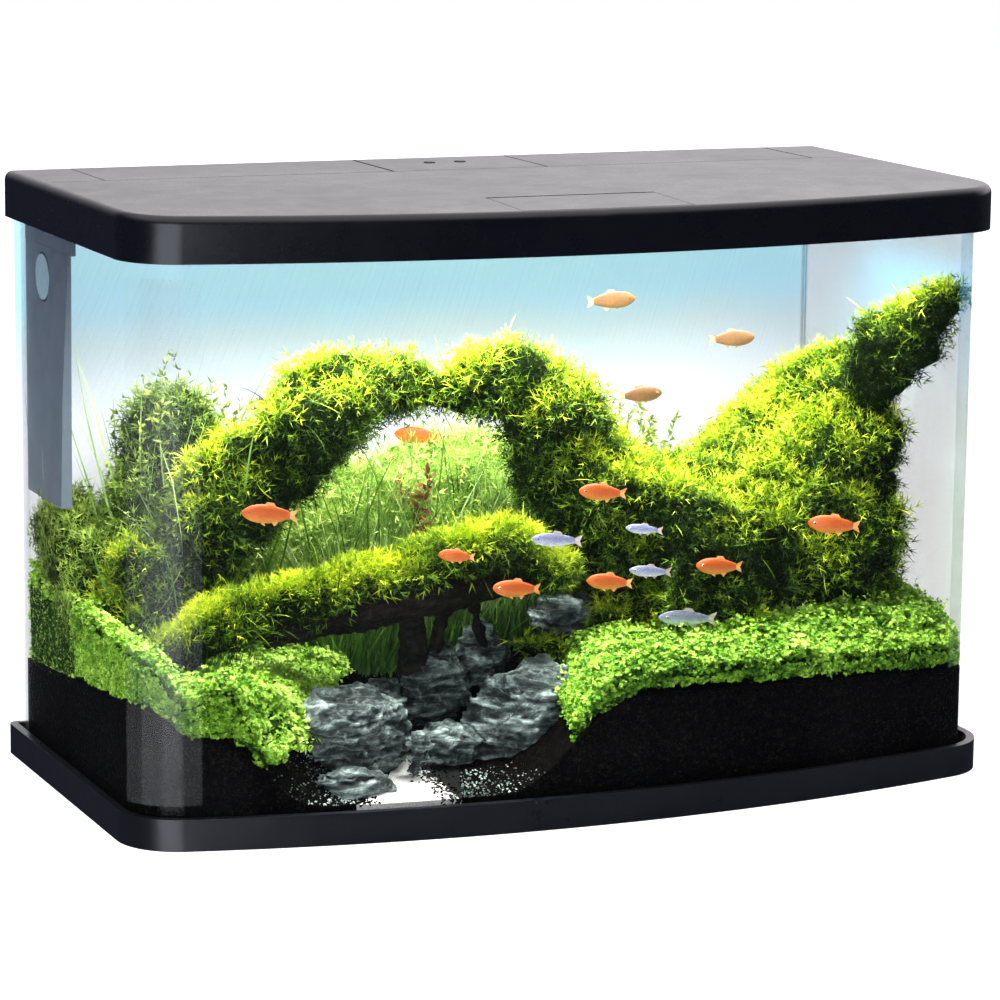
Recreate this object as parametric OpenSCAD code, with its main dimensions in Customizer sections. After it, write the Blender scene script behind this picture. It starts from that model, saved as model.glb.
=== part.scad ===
// Planted bow-front aquarium: a glass tank on a plastic base, with a hinged hood that holds the
// light, lift-off service covers, a feeding hatch, a slim corner filter and a planted layout.
// X runs to the right, Y to the rear and Z up. The origin is under the middle of the base.

/* [Tank] */
// Outside width of the base
tank_w = 620; // [600:1:640]
// Length of the straight sides, from the rear to the ends of the bow
side_depth = 286; // [276:1:300]
// How far the bowed front stands out past the sides
bow = 41.2; // [36:0.1:46]
// Radius of the two front corners
corner_r = 42.5; // [38:0.5:48]
// Full height, floor to lid
tank_h = 406.5; // [400:0.5:414]
// Thickness of every glass pane
glass_t = 5; // [4:0.5:6]
// Step in from the base's outer face to the glass
glass_in = 6; // [6:0.1:7]

/* [Base] */
// Height of the plastic base band
base_h = 21; // [18:0.5:26]
// Thickness of the base's floor
base_floor = 5; // [4:0.5:6]
// Radius of the rear corners of the base and the hood
rear_r = 7; // [6:0.5:9]

/* [Hood] */
// Height of the hood's skirt
hood_h = 31; // [28:0.5:34]
// Wall thickness of the hood
hood_t = 2.5; // [2:0.1:3]
// Radius of the hood's top edge
hood_edge = 6; // [4:0.5:7]
// How far the front of the lid drops
front_drop = 2; // [0:0.1:3]
// Gap around the covers and the hatch
seam = 1; // [0.4:0.1:1.2]
// Half width of the row of rear covers
cover_x = 264; // [250:1:270]
// Half width of the control panel
panel_x = 57; // [50:1:70]
// Half width of the feeding hatch
hatch_x = 60; // [40:1:80]
// Radius of the light buttons
button_r = 4; // [3:0.1:5]

/* [Filter] */
// Height of the filter's underside
filter_foot = 188; // [150:1:200]
// Length of the filter along the side pane
filter_len = 100; // [90:1:102]
// Slant of the filter's grille face, as width over length
filter_slant = 0.27; // [0.24:0.01:0.3]
// Radius of the suction cup
cup_r = 15.5; // [12:0.5:16]

/* [Layout] */
// Depth of the sand at the front pane
sand_front = 13; // [8:1:20]
// Thickness of the planted carpets where they are fullest
carpet_t = 30; // [20:1:36]

/* [Hidden] */

// Plan of the tank
hw = tank_w / 2;
rear_y = (side_depth + bow) / 2;
front_y = -rear_y;
bow_r = (hw * hw + bow * bow) / (2 * bow);
bow_cy = front_y + bow_r;
corner_x = hw - corner_r;
corner_y = bow_cy - sqrt(pow(bow_r - corner_r, 2) - corner_x * corner_x);
bow_angle = asin(corner_x / (bow_r - corner_r));
bow_steps = 22;
corner_steps = 14;
rear_steps = 4;
min_rear_r = 0.6;

// Heights
hood_z = tank_h - hood_h;
glass_top = hood_z + 15.5;
rim_top = glass_top + 2;
roof_z = tank_h - hood_t;
floor_z = base_floor + glass_t;

// Steps in from the base's outer face
hood_in = 0.5;
glass_inner = glass_in + glass_t;
fill_in = glass_inner + 0.6;
rim_out = 3.9;
rim_t = 1.8;

// Lid lines
crease_y = corner_y + 3;
cover_y = rear_y - 88;
cover_back = rear_y - 7.5;
hatch_back = crease_y - 6;
button_y = rear_y - 37.5;
button_gap = 11.5;

// Shallow recesses under the base
recess = [120, 90, 1.5];
recess_y = 62;

// Light unit and its screws
lamp_x = 235;
lamp_front = -62;
lamp_back = 2;
lamp_wall = 2;
screw_x = 241;
screw_ys = [-45, -15];

// Hood details
rest_x = hw - 7.5;
rest_half = 4.8;
rest_len = 10;
rest_ys = [-55, 65];
groove_x = cover_x + 18;
inlet_x = 110;
inlet_z = roof_z - 6.8;
inlet_r = 3.5;

// Clearances
tiny = 0.1;
gap = 0.3;
run = 0.05;

// Hood hinge
hinge_y = rear_y - 2.6;
hinge_z = hood_z + 1.6;
hinge_x = 200;
pin_r = 1.2;
knuckle_r = 2.5;

// Hatch hinge
rod_y = hatch_back - 3;
rod_z = lid_top(rod_y, 0) - 2.6;

// Filter
filter_x = -hw + glass_inner + 0.8;
filter_rear = rear_y - glass_inner - 5.6;
filter_front = filter_rear - filter_len;
filter_top = hood_z - 14.5;
filter_bend = filter_foot + 75;
cap_top = hood_z - 2.5;
filter_wall = 1.8;
sponge_h = filter_top - filter_foot - 46;
pump_x = filter_x + 11.3;
pump_y = filter_rear - 17;
pump_z = filter_foot + 4;
cup_y = filter_rear - 41;
cup_z = hood_z - 35.5;
magnet_r = 5.2;
vane_r = 6.9;

function smooth(t) = let (c = min(max(t, 0), 1)) c * c * (3 - 2 * c);
function mix(a, b, t) = a + (b - a) * t;
function reverse(list) = [for (i = [len(list) - 1:-1:0]) list[i]];

// Right half of the plan, front to rear, stepped in by d
function half_plan(d) =
    let (rr = max(rear_r - d, min_rear_r), rb = bow_r - d, rc = corner_r - d)
    concat(
        [for (i = [1:bow_steps]) let (a = bow_angle * (i - 0.5) / (bow_steps - 0.5))
            [rb * sin(a), bow_cy - rb * cos(a)]],
        [for (i = [1:corner_steps]) let (a = mix(bow_angle, 90, i / corner_steps))
            [corner_x + rc * sin(a), corner_y - rc * cos(a)]],
        [[hw - d, crease_y]],
        [for (i = [0:rear_steps]) let (a = 90 * i / rear_steps)
            [hw - d - rr + rr * cos(a), rear_y - d - rr + rr * sin(a)]]);

function whole_plan(d) =
    let (h = half_plan(d)) concat(h, [for (p = reverse(h)) [-p[0], p[1]]]);

// Y of the front of the plan at x, stepped in by d
function front_at(x, d) = abs(x) < (bow_r - d) * sin(bow_angle)
    ? bow_cy - sqrt(pow(bow_r - d, 2) - x * x)
    : corner_y - sqrt(max(0, pow(corner_r - d, 2) - pow(abs(x) - corner_x, 2)));

// Height of the lid's top face at y, taken down by t
function lid_top(y, t) =
    tank_h - t - front_drop * max(0, crease_y - y) / (crease_y - front_y - hood_edge);

module band(d_out, d_in, z0, z1) {
    translate([0, 0, z0]) linear_extrude(z1 - z0) difference() {
        polygon(whole_plan(d_out));
        polygon(whole_plan(d_in));
    }
}

module slab(d, z0, z1) {
    translate([0, 0, z0]) linear_extrude(z1 - z0) polygon(whole_plan(d));
}

module box(x0, x1, y0, y1, z0, z1) {
    translate([x0, y0, z0]) cube([x1 - x0, y1 - y0, z1 - z0]);
}

module x_rod(x0, x1, y, z, r) {
    translate([x0, y, z]) rotate([0, 90, 0]) cylinder(h = x1 - x0, r = r, $fn = 48);
}

// Lid-shaped solid: straight skirt, rounded top edge, and a roof that drops at the front
module lid_solid(d, z0, edge, down) {
    steps = 6;
    rings = concat(
        [[for (p = whole_plan(d)) [p[0], p[1], z0]]],
        [for (k = [0:steps]) let (a = 90 * k / steps)
            [for (p = whole_plan(d + edge * (1 - cos(a))))
                [p[0], p[1], lid_top(p[1], down) - edge * (1 - sin(a))]]]);
    n = len(rings[0]);
    last = (len(rings) - 1) * n;
    polyhedron(
        [for (ring = rings) each ring],
        concat(
            [for (j = [0:len(rings) - 2], i = [0:n - 1])
                let (a = j * n + i, b = j * n + (i + 1) % n)
                each [[a + n, b + n, b], [a + n, b, a]]],
            [for (i = [0:n / 2 - 2]) each [
                [i, i + 1, n - 2 - i, n - 1 - i],
                [last + n - 1 - i, last + n - 2 - i, last + i + 1, last + i]]]));
}

// ---- Tank ----

module base_frame() {
    color([0.09, 0.09, 0.12]) difference() {
        slab(0, 0, base_h);
        slab(glass_in - gap, base_floor, base_h + 1);
        for (x = [-0.75:0.5:0.75], s = [-1, 1])
            translate([x * hw - recess[0] / 2, s * recess_y - recess[1] / 2, -1])
                cube([recess[0], recess[1], recess[2] + 1]);
    }
}

module bottom_glass() {
    color([0.75, 0.88, 0.85, 0.4]) slab(fill_in, base_floor, floor_z);
}

module front_glass() {
    color([0.8, 0.92, 0.9, 0.3]) difference() {
        band(glass_in, glass_inner, base_floor, glass_top);
        box(-hw, hw, rear_y - glass_in - rear_r, rear_y, 0, tank_h);
    }
    color([0.8, 0.92, 0.9, 0.3]) for (s = [-1, 1])
        translate([s * (hw - glass_in - glass_t / 2), rear_y - glass_in - rear_r / 2, 0])
            box(-glass_t / 2, glass_t / 2, -rear_r / 2, rear_r / 2, base_floor, glass_top);
}

module rear_glass() {
    half = hw - glass_inner - 0.6;
    color([0.8, 0.92, 0.9, 0.3])
        box(-half, half, rear_y - glass_inner, rear_y - glass_in, base_floor, glass_top);
}

module corner_silicone() {
    bead = 4;
    x = hw - glass_inner;
    y = rear_y - glass_inner;
    color([0.2, 0.21, 0.23]) for (s = [0, 1]) mirror([s, 0, 0])
        translate([0, 0, floor_z]) linear_extrude(hood_z + 7 - floor_z)
            polygon([[x, y + glass_t], [x - 0.6, y + glass_t], [x - 0.6, y], [x - bead, y],
                     [x, y - bead]]);
}

module bottom_silicone() {
    color([0.2, 0.21, 0.23]) difference() {
        slab(glass_inner, base_floor, floor_z);
        slab(fill_in, base_floor - 1, floor_z + 1);
    }
}

module backdrop_film() {
    half = hw - glass_in - 1;
    color([0.75, 0.93, 0.97])
        box(-half, half, rear_y - glass_in, rear_y - glass_in + 0.3, base_h + 1, glass_top - 14);
}

module top_rim() {
    color([0.1, 0.1, 0.13]) difference() {
        union() {
            band(rim_out, glass_inner + 2, glass_top + tiny, rim_top);
            band(rim_out, rim_out + rim_t, hood_z + 3.5, glass_top + 1);
            band(glass_inner + gap, glass_inner + 2, hood_z + 7.5, glass_top + 1);
        }
        for (s = [-1, 1]) translate([s * hinge_x, 0, 0])
            box(-17, 17, rear_y - glass_in + 0.3, rear_y, hood_z, rim_top + 1);
    }
}

// ---- Hood hinge ----

module hinge_brackets() {
    plate_y = rear_y - glass_in + 0.4;
    color([0.16, 0.16, 0.18]) for (s = [-1, 1]) translate([s * hinge_x, 0, 0]) difference() {
        union() {
            box(-14, 14, plate_y, plate_y + 1.4, hood_z - 18, hinge_z - 0.4);
            for (k = [-1, 1]) x_rod(k * 10 - 4, k * 10 + 4, hinge_y, hinge_z, knuckle_r);
        }
        x_rod(-15, 15, hinge_y, hinge_z, pin_r);
        box(-5.8, 5.8, plate_y - 1, rear_y, hinge_z - knuckle_r - 0.5, hinge_z + knuckle_r);
    }
}

module hinge_pins() {
    color([0.8, 0.8, 0.82]) for (s = [-1, 1])
        x_rod(s * hinge_x - 14, s * hinge_x + 14, hinge_y, hinge_z, pin_r);
}

module hinge_arms() {
    color([0.14, 0.14, 0.16]) for (s = [-1, 1]) translate([s * hinge_x, 0, 0]) difference() {
        union() {
            x_rod(-5.5, 5.5, hinge_y, hinge_z, knuckle_r);
            box(-5.5, 5.5, hinge_y - 2, hinge_y - 0.5, hinge_z, roof_z - 8);
        }
        x_rod(-7, 7, hinge_y, hinge_z, pin_r + run);
    }
}

// ---- Corner filter ----

function filter_side(y) = filter_x + 2 + filter_slant * (y - filter_front);

module filter_prism(wall, z0, z1) {
    y0 = filter_front + (wall > 0 ? 9 : 0);
    y1 = filter_rear - wall;
    intersection() {
        translate([0, 0, z0]) linear_extrude(z1 - z0)
            polygon([[filter_x + wall, y0], [filter_x + wall, y1],
                     [filter_side(y1) - wall, y1], [filter_side(y0) - wall, y0]]);
        translate([filter_x - 1, 0, 0]) rotate([90, 0, 90]) linear_extrude(40)
            polygon([[y1 + 1, z0 - 1], [y1 + 1, z1 + 1], [filter_front + wall, z1 + 1],
                     [filter_front + 16 + wall, filter_bend], [filter_front + 21 + wall, z0 - 1]]);
    }
}

module cup_pocket(r, depth) {
    x_rod(filter_x, filter_x + depth, cup_y, cup_z, r);
}

module filter_housing() {
    slot_h = 3;
    color([0.3, 0.35, 0.42]) difference() {
        union() {
            difference() {
                filter_prism(0, filter_foot, filter_top);
                filter_prism(filter_wall, filter_foot + filter_wall, filter_top + 1);
            }
            cup_pocket(cup_r + 3, 6);
        }
        translate([-1, 0, 0]) cup_pocket(cup_r + 1, 5);
        for (z = [filter_foot + 50:8:filter_foot + 114], y = [filter_rear - 52, filter_rear - 26])
            box(filter_x + 12, filter_x + 34, y, y + 20, z, z + slot_h);
        for (z = [filter_top - 30:8:filter_top - 14])
            box(filter_x + 15, filter_x + 34, filter_rear - 30, filter_rear - 8, z, z + slot_h);
    }
}

module filter_cap() {
    y0 = filter_front - 7;
    y1 = filter_rear + 1.5;
    color([0.2, 0.22, 0.27]) translate([0, 0, filter_top + tiny]) difference() {
        linear_extrude(cap_top - filter_top - tiny)
            polygon([[filter_x, y0], [filter_x, y1], [filter_side(y1) + 1.5, y1],
                     [filter_side(y0) + 3, y0]]);
        translate([0, 0, -1]) linear_extrude(cap_top - filter_top - 2)
            polygon([[filter_x + 2, y0 + 18], [filter_x + 2, y1 - 3],
                     [filter_side(y1 - 3) - 2, y1 - 3], [filter_side(y0 + 18) - 1, y0 + 18]]);
    }
}

module suction_cup() {
    color([0.62, 0.74, 0.8])
        translate([filter_x - 0.7, cup_y, cup_z]) rotate([0, 90, 0])
            rotate_extrude($fn = 96) polygon([[0, 0], [cup_r, 0], [cup_r, 0.7], [6, 3], [4, 3],
                                              [4, 4.5], [0, 4.5]]);
}

module filter_sponge() {
    y0 = filter_front + 25;
    y1 = filter_front + 52;
    color([0.18, 0.2, 0.24]) translate([0, 0, filter_foot + 3]) linear_extrude(sponge_h)
        polygon([[filter_x + 2.4, y0], [filter_x + 2.4, y1], [filter_side(y1) - 2.4, y1],
                 [filter_side(y0) - 2.4, y0]]);
}

module pump_plan(z0, z1) {
    y0 = filter_rear - 34;
    y1 = filter_rear - 2.4;
    translate([0, 0, z0]) linear_extrude(z1 - z0)
        polygon([[filter_x + 2.4, y0], [filter_x + 2.4, y1], [filter_side(y1) - 2.4, y1],
                 [filter_side(y0) - 2.4, y0]]);
}

module pump_body() {
    color([0.12, 0.13, 0.15]) difference() {
        pump_plan(pump_z, pump_z + 40);
        translate([pump_x, pump_y, pump_z + 4]) cylinder(h = 37, r = magnet_r + 0.4, $fn = 64);
        translate([pump_x, pump_y, pump_z + 20]) cylinder(h = 21, r = vane_r + 0.7, $fn = 64);
        translate([pump_x, pump_y, pump_z + 2]) cylinder(h = 3, r = 1, $fn = 32);
    }
}

module pump_cover() {
    color([0.16, 0.17, 0.2]) difference() {
        pump_plan(pump_z + 40, pump_z + 43);
        translate([pump_x, pump_y, pump_z + 39]) cylinder(h = 5, r = 1, $fn = 32);
        for (a = [0:90:270]) translate([pump_x, pump_y, pump_z + 39]) rotate([0, 0, a])
            translate([4.2, 0, 0]) cylinder(h = 5, r = 1.6, $fn = 32);
    }
}

module impeller_shaft() {
    color([0.85, 0.85, 0.83]) translate([pump_x, pump_y, pump_z + 2])
        cylinder(h = 41, r = 1, $fn = 32);
}

module impeller() {
    color([0.9, 0.9, 0.88]) translate([pump_x, pump_y, 0]) difference() {
        union() {
            translate([0, 0, pump_z + 5]) cylinder(h = 15, r = magnet_r, $fn = 64);
            translate([0, 0, pump_z + 20]) cylinder(h = 17, r = 2.4, $fn = 48);
            translate([0, 0, pump_z + 21]) cylinder(h = 1.5, r = vane_r, $fn = 64);
            for (a = [0:60:300]) rotate([0, 0, a])
                box(1.5, vane_r - 0.3, -0.5, 0.5, pump_z + 22, pump_z + 34);
        }
        translate([0, 0, pump_z]) cylinder(h = 40, r = 1 + run, $fn = 48);
    }
}

// ---- Hood ----

module hood_openings() {
    hatch_front = hood_edge + 0.5;
    box(-cover_x, cover_x, cover_y, cover_back, roof_z - tiny, tank_h + 1);
    for (w = [[-cover_x, -panel_x], [-panel_x, panel_x], [panel_x, cover_x]])
        box(w[0] + 4, w[1] - 4, cover_y + 4, cover_back - 4, hood_z, tank_h + 1);
    intersection() {
        box(-hatch_x, hatch_x, front_y, rod_y + 3, hood_z, tank_h + 1);
        slab(hatch_front, hood_z, tank_h + 2);
    }
}

module hood_shell() {
    color([0.1, 0.1, 0.13]) difference() {
        union() {
            difference() {
                lid_solid(hood_in, hood_z, hood_edge, 0);
                lid_solid(hood_in + hood_t, hood_z - 1, hood_edge - hood_t, hood_t);
            }
            box(-cover_x - 8, cover_x + 8, cover_y - 8, rear_y - 2, roof_z - 2.8, roof_z + 0.5);
            for (s = [-1, 1], y = rest_ys)
                box(s * rest_x - rest_half, s * rest_x + rest_half, y, y + rest_len,
                    rim_top + 0.15, roof_z + 0.5);
            for (s = [-1, 1], y = screw_ys) translate([s * screw_x, y, roof_z - 3])
                cylinder(h = 3.5, r = 4, $fn = 48);
            for (s = [-1, 1])
                box(s * (hatch_x + 4.5) - 4, s * (hatch_x + 4.5) + 4, rod_y - 3, rod_y + 3,
                    rod_z - 3, roof_z + 0.3);
        }
        hood_openings();
        x_rod(-hatch_x - 7, hatch_x + 7, rod_y, rod_z, pin_r);
        for (s = [-1, 1], y = screw_ys) translate([s * screw_x, y, roof_z - 4])
            cylinder(h = 5, r = 1.5, $fn = 32);
        for (s = [-1, 1]) {
            translate([s * hinge_x, 0, 0])
                box(-15, 15, rear_y - 5, rear_y + 1, hood_z - 1, hinge_z + knuckle_r + 0.4);
            box(s * groove_x - 18, s * groove_x + 18, cover_y - 0.4, cover_y + 0.4,
                tank_h - 0.4, tank_h + 1);
        }
        translate([inlet_x, rear_y + 1, inlet_z]) rotate([90, 0, 0])
            cylinder(h = 6, r = inlet_r, $fn = 48);
    }
}

module control_panel() {
    color([0.11, 0.11, 0.14]) difference() {
        union() {
            box(-panel_x + seam / 2, panel_x - seam / 2, cover_y + seam, cover_back - seam,
                roof_z, tank_h);
            for (s = [-1, 1]) translate([s * 38, button_y, roof_z - 8])
                cylinder(h = 9, r = 2.5, $fn = 32);
        }
        for (s = [-1, 1]) translate([s * button_gap, button_y, roof_z - 1])
            cylinder(h = 5, r = button_r + 0.15, $fn = 64);
    }
}

module switch_board() {
    color([0.1, 0.35, 0.2]) {
        box(-45, 45, button_y - 20, button_y + 20, roof_z - 9.6, roof_z - 8);
        for (s = [-1, 1]) translate([s * button_gap, button_y, 0])
            box(-3, 3, -3, 3, roof_z - 8, roof_z - 5.5);
    }
}

module light_button(side) {
    translate([side * button_gap, button_y, 0]) {
        translate([0, 0, roof_z - tiny]) cylinder(h = hood_t + 0.6, r = button_r, $fn = 64);
        translate([0, 0, roof_z - 1.6]) cylinder(h = 1.5, r = button_r + 1.2, $fn = 64);
        translate([0, 0, roof_z - 3.7]) cylinder(h = 2.2, r = 1.6, $fn = 32);
    }
}

module day_button() {
    color([0.16, 0.16, 0.19]) light_button(-1);
}

module night_button() {
    color([0.16, 0.16, 0.19]) light_button(1);
}

module led_housing() {
    color([0.85, 0.86, 0.88]) difference() {
        union() {
            box(-lamp_x, lamp_x, lamp_front, lamp_back, roof_z - 16.5, roof_z - 0.2);
            box(-screw_x - 6, screw_x + 6, lamp_front + 11, lamp_back - 11, roof_z - 5.8, roof_z - 3);
        }
        box(-lamp_x + lamp_wall, lamp_x - lamp_wall, lamp_front + lamp_wall, lamp_back - lamp_wall,
            roof_z - 18, roof_z - 2);
        for (s = [-1, 1], y = screw_ys) translate([s * screw_x, y, roof_z - 7])
            cylinder(h = 5, r = 1.7, $fn = 32);
    }
}

module led_board() {
    color([0.93, 0.94, 0.94]) {
        box(-lamp_x + 7, lamp_x - 7, lamp_front + 6, lamp_back - 6, roof_z - 5, roof_z - 3.4);
        for (i = [-5.5:1:5.5], y = [lamp_front + 19, lamp_back - 19])
            box(39 * i - 2.5, 39 * i + 2.5, y - 2.5, y + 2.5, roof_z - 5.8, roof_z - 4.9);
    }
}

module led_lens() {
    color([0.95, 0.97, 1, 0.6])
        box(-lamp_x + lamp_wall + 0.2, lamp_x - lamp_wall - 0.2, lamp_front + lamp_wall + 0.2,
            lamp_back - lamp_wall - 0.2, roof_z - 16, roof_z - 14);
}

module led_screws() {
    color([0.75, 0.75, 0.77]) for (s = [-1, 1], y = screw_ys)
        translate([s * screw_x, y, roof_z]) {
            translate([0, 0, -7.6]) cylinder(h = 1.8, r = 3, $fn = 32);
            translate([0, 0, -6.2]) cylinder(h = 6.8, r = 1.5, $fn = 32);
        }
}

module hatch_rod() {
    color([0.8, 0.8, 0.82]) x_rod(-hatch_x - 6.8, hatch_x + 6.8, rod_y, rod_z, pin_r);
}

module power_inlet() {
    color([0.05, 0.05, 0.05]) translate([inlet_x, rear_y - hood_in, inlet_z])
        rotate([90, 0, 0]) difference() {
            union() {
                cylinder(h = 12, r = inlet_r - run, $fn = 48);
                translate([0, 0, hood_t]) cylinder(h = 1.5, r = 3.9, $fn = 48);
            }
            translate([0, 0, -1]) cylinder(h = 10, r = 2.75, $fn = 48);
        }
}

module feed_hatch() {
    color([0.1, 0.1, 0.13]) difference() {
        union() {
            intersection() {
                difference() {
                    lid_solid(hood_in, hood_z, hood_edge, 0);
                    lid_solid(hood_in + hood_t, hood_z - 1, hood_edge - hood_t, hood_t);
                }
                slab(hood_edge + 0.5 + seam, hood_z, tank_h + 1);
                box(-hatch_x + seam / 2, hatch_x - seam / 2, front_y, rod_y, hood_z, tank_h + 1);
            }
            x_rod(-hatch_x + seam / 2, hatch_x - seam / 2, rod_y, rod_z, 2.6);
        }
        x_rod(-hatch_x - 1, hatch_x + 1, rod_y, rod_z, pin_r + run);
    }
}

// Service cover between x0 and x1, with two ribs under it
module service_cover(x0, x1) {
    box(x0 + seam, x1 - seam, cover_y + seam, cover_back - seam, roof_z, tank_h);
    for (y = [cover_y + 25, cover_back - 27])
        box(x0 + 12, x1 - 12, y, y + 2, roof_z - 4, roof_z + 0.5);
}

module left_cover() {
    color([0.11, 0.11, 0.14]) service_cover(-cover_x, -panel_x);
}

module right_cover() {
    color([0.11, 0.11, 0.14]) service_cover(panel_x, cover_x);
}

// ---- Layout ----

// V runs from 0 at the front pane to 1 at the rear pane
fill_x = hw - fill_in;
fill_rear = rear_y - fill_in;
function y_of(x, v) = mix(front_at(x, fill_in), fill_rear, v);
function v_of(x, y) = (y - front_at(x, fill_in)) / (fill_rear - front_at(x, fill_in));
function path_left(v) = mix(-190, -22, pow(v, 0.75));
function path_right(v) = mix(-74, 12, v);
// The sand is narrower than the gap between the banks; soil fills the rest
function sand_left(v) = path_left(v) + 25 * (1 - v);
function sand_right(v) = path_right(v) - 21 * (1 - v);
function sand_z(v) = floor_z + sand_front + 62 * smooth(v);
// The left bank dips where it meets the front pane, except along the side pane
function front_dip(x, v) = 22 * max(0, 1 - 10 * v) * smooth((x + fill_x - 4) / 22);
function left_bank(x, v) = mix(sand_z(v), 88 - 20 * v - front_dip(x, v),
                               smooth((path_left(v) - x) / 66));
function right_bank(x, v) = mix(sand_z(v), 82 + 22 * v - 8 * pow(x / 250, 2),
                                smooth((x - path_right(v) - 10 * (1 - v)) / 92));

// Ground between two plan lines, with its own top and bottom; dense puts the columns closer
// together at the side pane (-1 left, 1 right, 0 even)
module ground(x0, x1, v0, v1, top, bottom, columns, rows, dense) {
    function column(i) = dense < 0 ? 1 - cos(90 * i / columns)
        : dense > 0 ? sin(90 * i / columns) : i / columns;
    spots = [for (j = [0:rows], i = [0:columns])
        let (v = mix(v0, v1, j / rows), x = mix(x0(v), x1(v), column(i))) [x, v]];
    n = len(spots);
    w = columns + 1;
    polyhedron(
        concat([for (s = spots) [s[0], y_of(s[0], s[1]), top(s[0], s[1])]],
               [for (s = spots) [s[0], y_of(s[0], s[1]), bottom(s[0], s[1])]]),
        concat(
            [for (j = [0:rows - 1], i = [0:columns - 1]) let (a = j * w + i, b = a + w) each [
                [b, b + 1, a + 1], [b, a + 1, a],
                [n + a, n + a + 1, n + b + 1], [n + a, n + b + 1, n + b]]],
            [for (i = [0:columns - 1]) let (a = i, b = rows * w + i) each [
                [a, a + 1, n + a + 1], [a, n + a + 1, n + a],
                [n + b, n + b + 1, b + 1], [n + b, b + 1, b]]],
            [for (j = [0:rows - 1]) let (a = j * w, b = a + columns) each [
                [a + w, a, n + a], [a + w, n + a, n + a + w],
                [n + b + w, n + b, b], [n + b + w, b, b + w]]]));
}

module soil_left() {
    color([0.07, 0.06, 0.06]) ground(function(v) -fill_x, function(v) sand_left(v) - gap, 0, 1,
        function(x, v) left_bank(x, v), function(x, v) floor_z + tiny, 26, 10, -1);
}

module soil_right() {
    color([0.07, 0.06, 0.06]) ground(function(v) sand_right(v) + gap, function(v) fill_x, 0, 1,
        function(x, v) right_bank(x, v), function(x, v) floor_z + tiny, 32, 10, 1);
}

module sand_path() {
    color([0.92, 0.91, 0.87]) ground(function(v) sand_left(v), function(v) sand_right(v), 0, 1,
        function(x, v) sand_z(v), function(x, v) floor_z + tiny, 6, 10, 0);
}

// Planted carpets lie on the soil. The left one is a ridge along the side pane and a tuft at the
// front; the right one swells towards the side pane. Both thin out towards the sand.
carpet_foot = 3;
carpet_skin = 0.12;
function fade(x, from) = smooth((x - from) / 40 + 0.2);
function side_ridge(x, v) = (0.75 + 1.1 * v) * smooth((-262 - x) / 30);
function front_tuft(x, v) = 1.1 * exp(-pow((x + 244) / 26, 2)) * (1 - smooth(6 * v));
function right_swell(x, v) = mix(0.25, mix(0.45, 0.85, smooth((x - 60) / 180)), smooth(v / 0.18))
    * (1 - 0.9 * smooth((v - 0.16) / 0.18) * smooth((170 - x) / 80));

module carpet_left() {
    edge = 32;
    color([0.35, 0.55, 0.12]) ground(function(v) -fill_x, function(v) path_left(v) - edge, 0, 0.6,
        function(x, v) left_bank(x, v) + carpet_foot + carpet_t
            * (carpet_skin + side_ridge(x, v) + front_tuft(x, v)) * fade(-x, edge - path_left(v)),
        function(x, v) left_bank(x, v) + gap, 20, 12, -1);
}

module carpet_right() {
    edge = 56;
    color([0.35, 0.55, 0.12]) ground(function(v) path_right(v) + edge, function(v) fill_x, 0, 0.4,
        function(x, v) right_bank(x, v) + carpet_foot + carpet_t
            * (carpet_skin + right_swell(x, v)) * fade(x, path_right(v) + edge),
        function(x, v) right_bank(x, v) + gap, 22, 8, 1);
}

// One rock: the hull of points scattered on a ball, stretched to its size
module rock(at, size, turn, seed) {
    count = 22;
    pull = rands(0.72, 1, count, seed);
    translate(at) rotate(turn) scale(size / 2) hull() for (k = [0:count - 1]) {
        z = 1 - 2 * (k + 0.5) / count;
        a = 137.5 * k;
        translate(pull[k] * [sqrt(1 - z * z) * cos(a), sqrt(1 - z * z) * sin(a), z])
            cube(0.04, center = true);
    }
}

module stones_left() {
    color([0.38, 0.43, 0.45]) {
        rock([-147, -82, 56], [112, 66, 74], [8, -6, 12], 3);
        rock([-158, -117, 32], [62, 28, 26], [0, 6, -4], 8);
        rock([-108, -104, 42], [22, 18, 40], [0, 8, 0], 5);
        rock([-116, -52, 62], [44, 34, 52], [4, 10, -10], 21);
    }
}

module stones_right() {
    color([0.4, 0.45, 0.47]) {
        rock([-16, -72, 52], [120, 58, 80], [6, -24, -8], 11);
        rock([-76, -82, 38], [50, 40, 42], [0, 4, 12], 27);
        rock([-66, -28, 64], [62, 38, 82], [4, 8, 20], 14);
        rock([-30, -12, 84], [50, 36, 48], [0, -8, 30], 23);
        rock([48, 14, 100], [84, 40, 30], [0, 4, 6], 17);
    }
}

// Catmull-Rom curve through hand-placed points, n steps to each span
function spline_at(p, i, t) =
    let (a = p[max(i - 1, 0)], b = p[i], c = p[i + 1], d = p[min(i + 2, len(p) - 1)])
    0.5 * (2 * b + (c - a) * t + (2 * a - 5 * b + 4 * c - d) * t * t
           + (3 * b - a - 3 * c + d) * t * t * t);
function spline(p, n) = concat([for (i = [0:len(p) - 2], k = [0:n - 1]) spline_at(p, i, k / n)],
                               [p[len(p) - 1]]);
function unit(v) = v / norm(v);

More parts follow.
